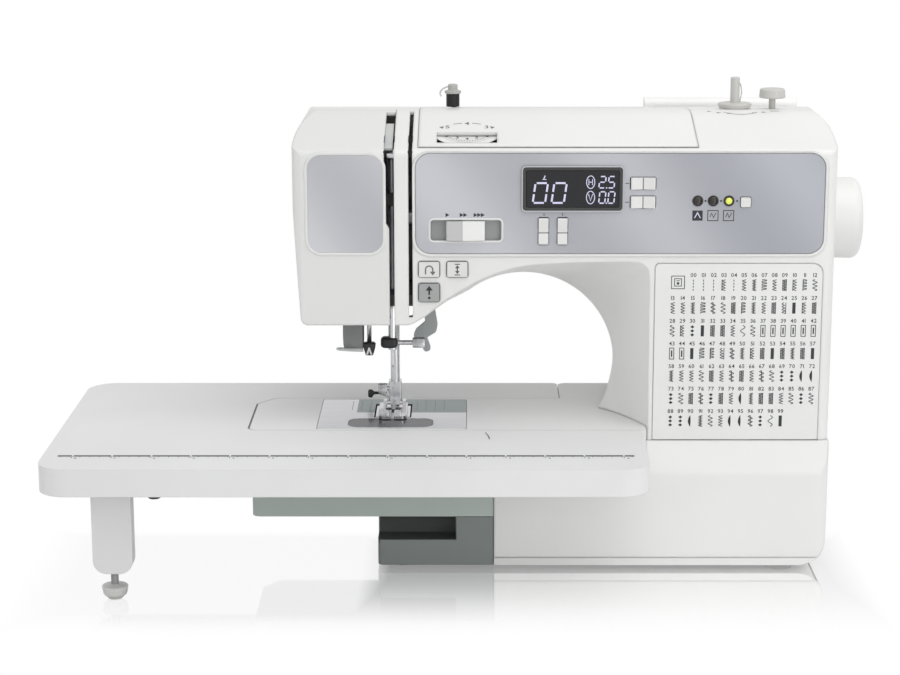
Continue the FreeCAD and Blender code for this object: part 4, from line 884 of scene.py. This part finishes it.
piece("threader_toe", *rings(toe, "x", 2.6), guard_grey, "threader", "grey_casing")
piece("threader_stem", *rings(stem, power=2), bright_steel, "threader", "bright_steel")

# Small lever at the presser foot, and the light notch in the threader's head
paddle = [(-69.4, 25, 106.8, 0.9, 1.8), (-68.8, 25, 106.8, 1.5, 2.8), (-66.8, 25, 106.8, 1.6, 3.0),
          (-66.0, 25, 107, 1.2, 2.1), (-65.2, 25, 107.2, 0.9, 1.1), (-61.8, 25, 107.3, 0.8, 0.9)]
arm = [(-62.6, 25, 107.3, 0.8, 0.8), (-57.0, 23.6, 105.8, 0.8, 0.8), (-53.0, 22.0, 104.4, 0.8, 0.8)]
piece("foot_lever", *rings(paddle, "x", 2.6), dark_plastic, "presser", "black_plastic")
piece("foot_lever_arm", *rings(arm, "x", 2), bright_steel, "presser", "bright_steel")
notch = polygon(((-69.2, 141.6), (-67.4, 146.6), (-66.6, 146.6), (-64.8, 141.6), (-66.2, 141.6),
                 (-67.0, 144.6), (-67.8, 141.6)))
on_front("threader_notch", [notch], -4.2, key_white, "threader", "bright_steel")


# Stage, light and camera, with sizes in metres


def stage_sheet(name, corners, finish, mirrored_only=False):
    """Flat sheet of the stage on four corners; it can be a card that only polished metal mirrors."""
    data = bpy.data.meshes.new(name)
    data.from_pydata(corners, [], [(0, 1, 2, 3)])
    data.materials.append(finish)
    made = bpy.data.objects.new(name, data)
    bpy.context.collection.objects.link(made)
    if mirrored_only:
        made.visible_camera = made.visible_diffuse = False
        made.visible_shadow = made.visible_transmission = False


for name, x in (("card_left", -0.85), ("card_right", 0.85)):
    stage_sheet(name, [(x, -0.75, -0.1), (x, 0.25, -0.1), (x, 0.25, 0.5), (x, -0.75, 0.5)], dark_plastic, True)

# Lacquered floor that shades to plain white ahead of, behind and beside the part, as the camera sees it
floor, nodes, links, shader = material("floor_white")
nodes.remove(shader)
matt = nodes.new("ShaderNodeBsdfDiffuse")
matt.inputs["Color"].default_value = (0.97, 0.97, 0.97, 1)
gloss = nodes.new("ShaderNodeBsdfGlossy")
gloss.inputs["Color"].default_value = (0.98, 0.98, 0.98, 1)
gloss.inputs["Roughness"].default_value = 0.05
lacquer = layered(nodes, links, 0.84, matt.outputs["BSDF"], gloss.outputs["BSDF"])
glow = nodes.new("ShaderNodeEmission")
rays = nodes.new("ShaderNodeLightPath").outputs
where = axes(nodes, links)
ahead = span(nodes, links, where["Y"], 1.0, 0.28, -0.175, -0.045, soft=True)
behind = span(nodes, links, where["Y"], 0.0, 1.0, -0.02, 0.05, soft=True)
reach = span(nodes, links, where["X"], 0.0, 1.0, -0.30, 0.30)
SHARES = ((0.0, 1.0), (0.06, 0.8), (0.38, 0.8), (0.43, 0.0), (0.89, 0.0), (0.95, 1.0))
beside = ramp(nodes, links, reach, [(position, (share,) * 3) for position, share in SHARES])
around = reckon(nodes, links, "MAXIMUM", behind, beside)
white = reckon(nodes, links, "MAXIMUM", ahead, around)
weight = reckon(nodes, links, "MULTIPLY", rays["Is Camera Ray"], white)
blend = layered(nodes, links, weight, lacquer, glow.outputs["Emission"])
links.new(blend, nodes["Material Output"].inputs["Surface"])
HALF, DROP = 6.0, -0.0004  # half the floor's width, and its level
stage_sheet("floor", [(x * HALF, y * HALF, DROP) for x, y in ((-1, -1), (1, -1), (1, 1), (-1, 1))], floor)

# Studio: dimmer as a light than where it is seen or mirrored
world = bpy.data.worlds.new("studio")
bpy.context.scene.world = world
world.use_nodes = True
nodes, links = world.node_tree.nodes, world.node_tree.links
dim = nodes["Background"]
dim.inputs["Color"].default_value = (1, 1, 1, 1)
dim.inputs["Strength"].default_value = 0.71
bright = nodes.new("ShaderNodeBackground")
bright.inputs["Strength"].default_value = 1.0
rays = nodes.new("ShaderNodeLightPath").outputs
seen = reckon(nodes, links, "MAXIMUM", rays["Is Camera Ray"], rays["Is Transmission Ray"])
mirrored = reckon(nodes, links, "MAXIMUM", seen, rays["Is Glossy Ray"])
blend = layered(nodes, links, mirrored, dim.outputs["Background"], bright.outputs["Background"])
links.new(blend, nodes["World Output"].inputs["Surface"])


def softbox(name, where, aim, size, power):
    """Rectangular light at a place, facing its aim, with its power in watts."""
    lamp = bpy.data.lights.new(name, "AREA")
    lamp.shape = "RECTANGLE"
    lamp.size, lamp.size_y = size
    lamp.energy = power
    made = bpy.data.objects.new(name, lamp)
    bpy.context.collection.objects.link(made)
    made.location = where
    made.rotation_euler = (Vector(aim) - Vector(where)).to_track_quat("-Z", "Y").to_euler()


softbox("top_light", (0.55, -0.5, 1.7), (0.05, 0, 0.15), (1.6, 1.3), 11)
softbox("front_light", (1.1, -1.3, 0.4), (0.12, 0, 0.14), (1.2, 0.9), 5)
softbox("fill_light", (-1.5, -0.4, 0.14), (0.1, 0, 0.14), (0.7, 0.3), 2.5)

lens = bpy.data.cameras.new("camera")
lens.sensor_width = 36.0
lens.lens = 88.0
lens.shift_x = -17 / 900
camera = bpy.data.objects.new("camera", lens)
bpy.context.collection.objects.link(camera)
camera.location = (0, -1.472, 0.4855)
camera.rotation_euler = (math.radians(90 - 12.74), 0, 0)
bpy.context.scene.camera = camera
bpy.context.scene.view_settings.view_transform = "Standard"
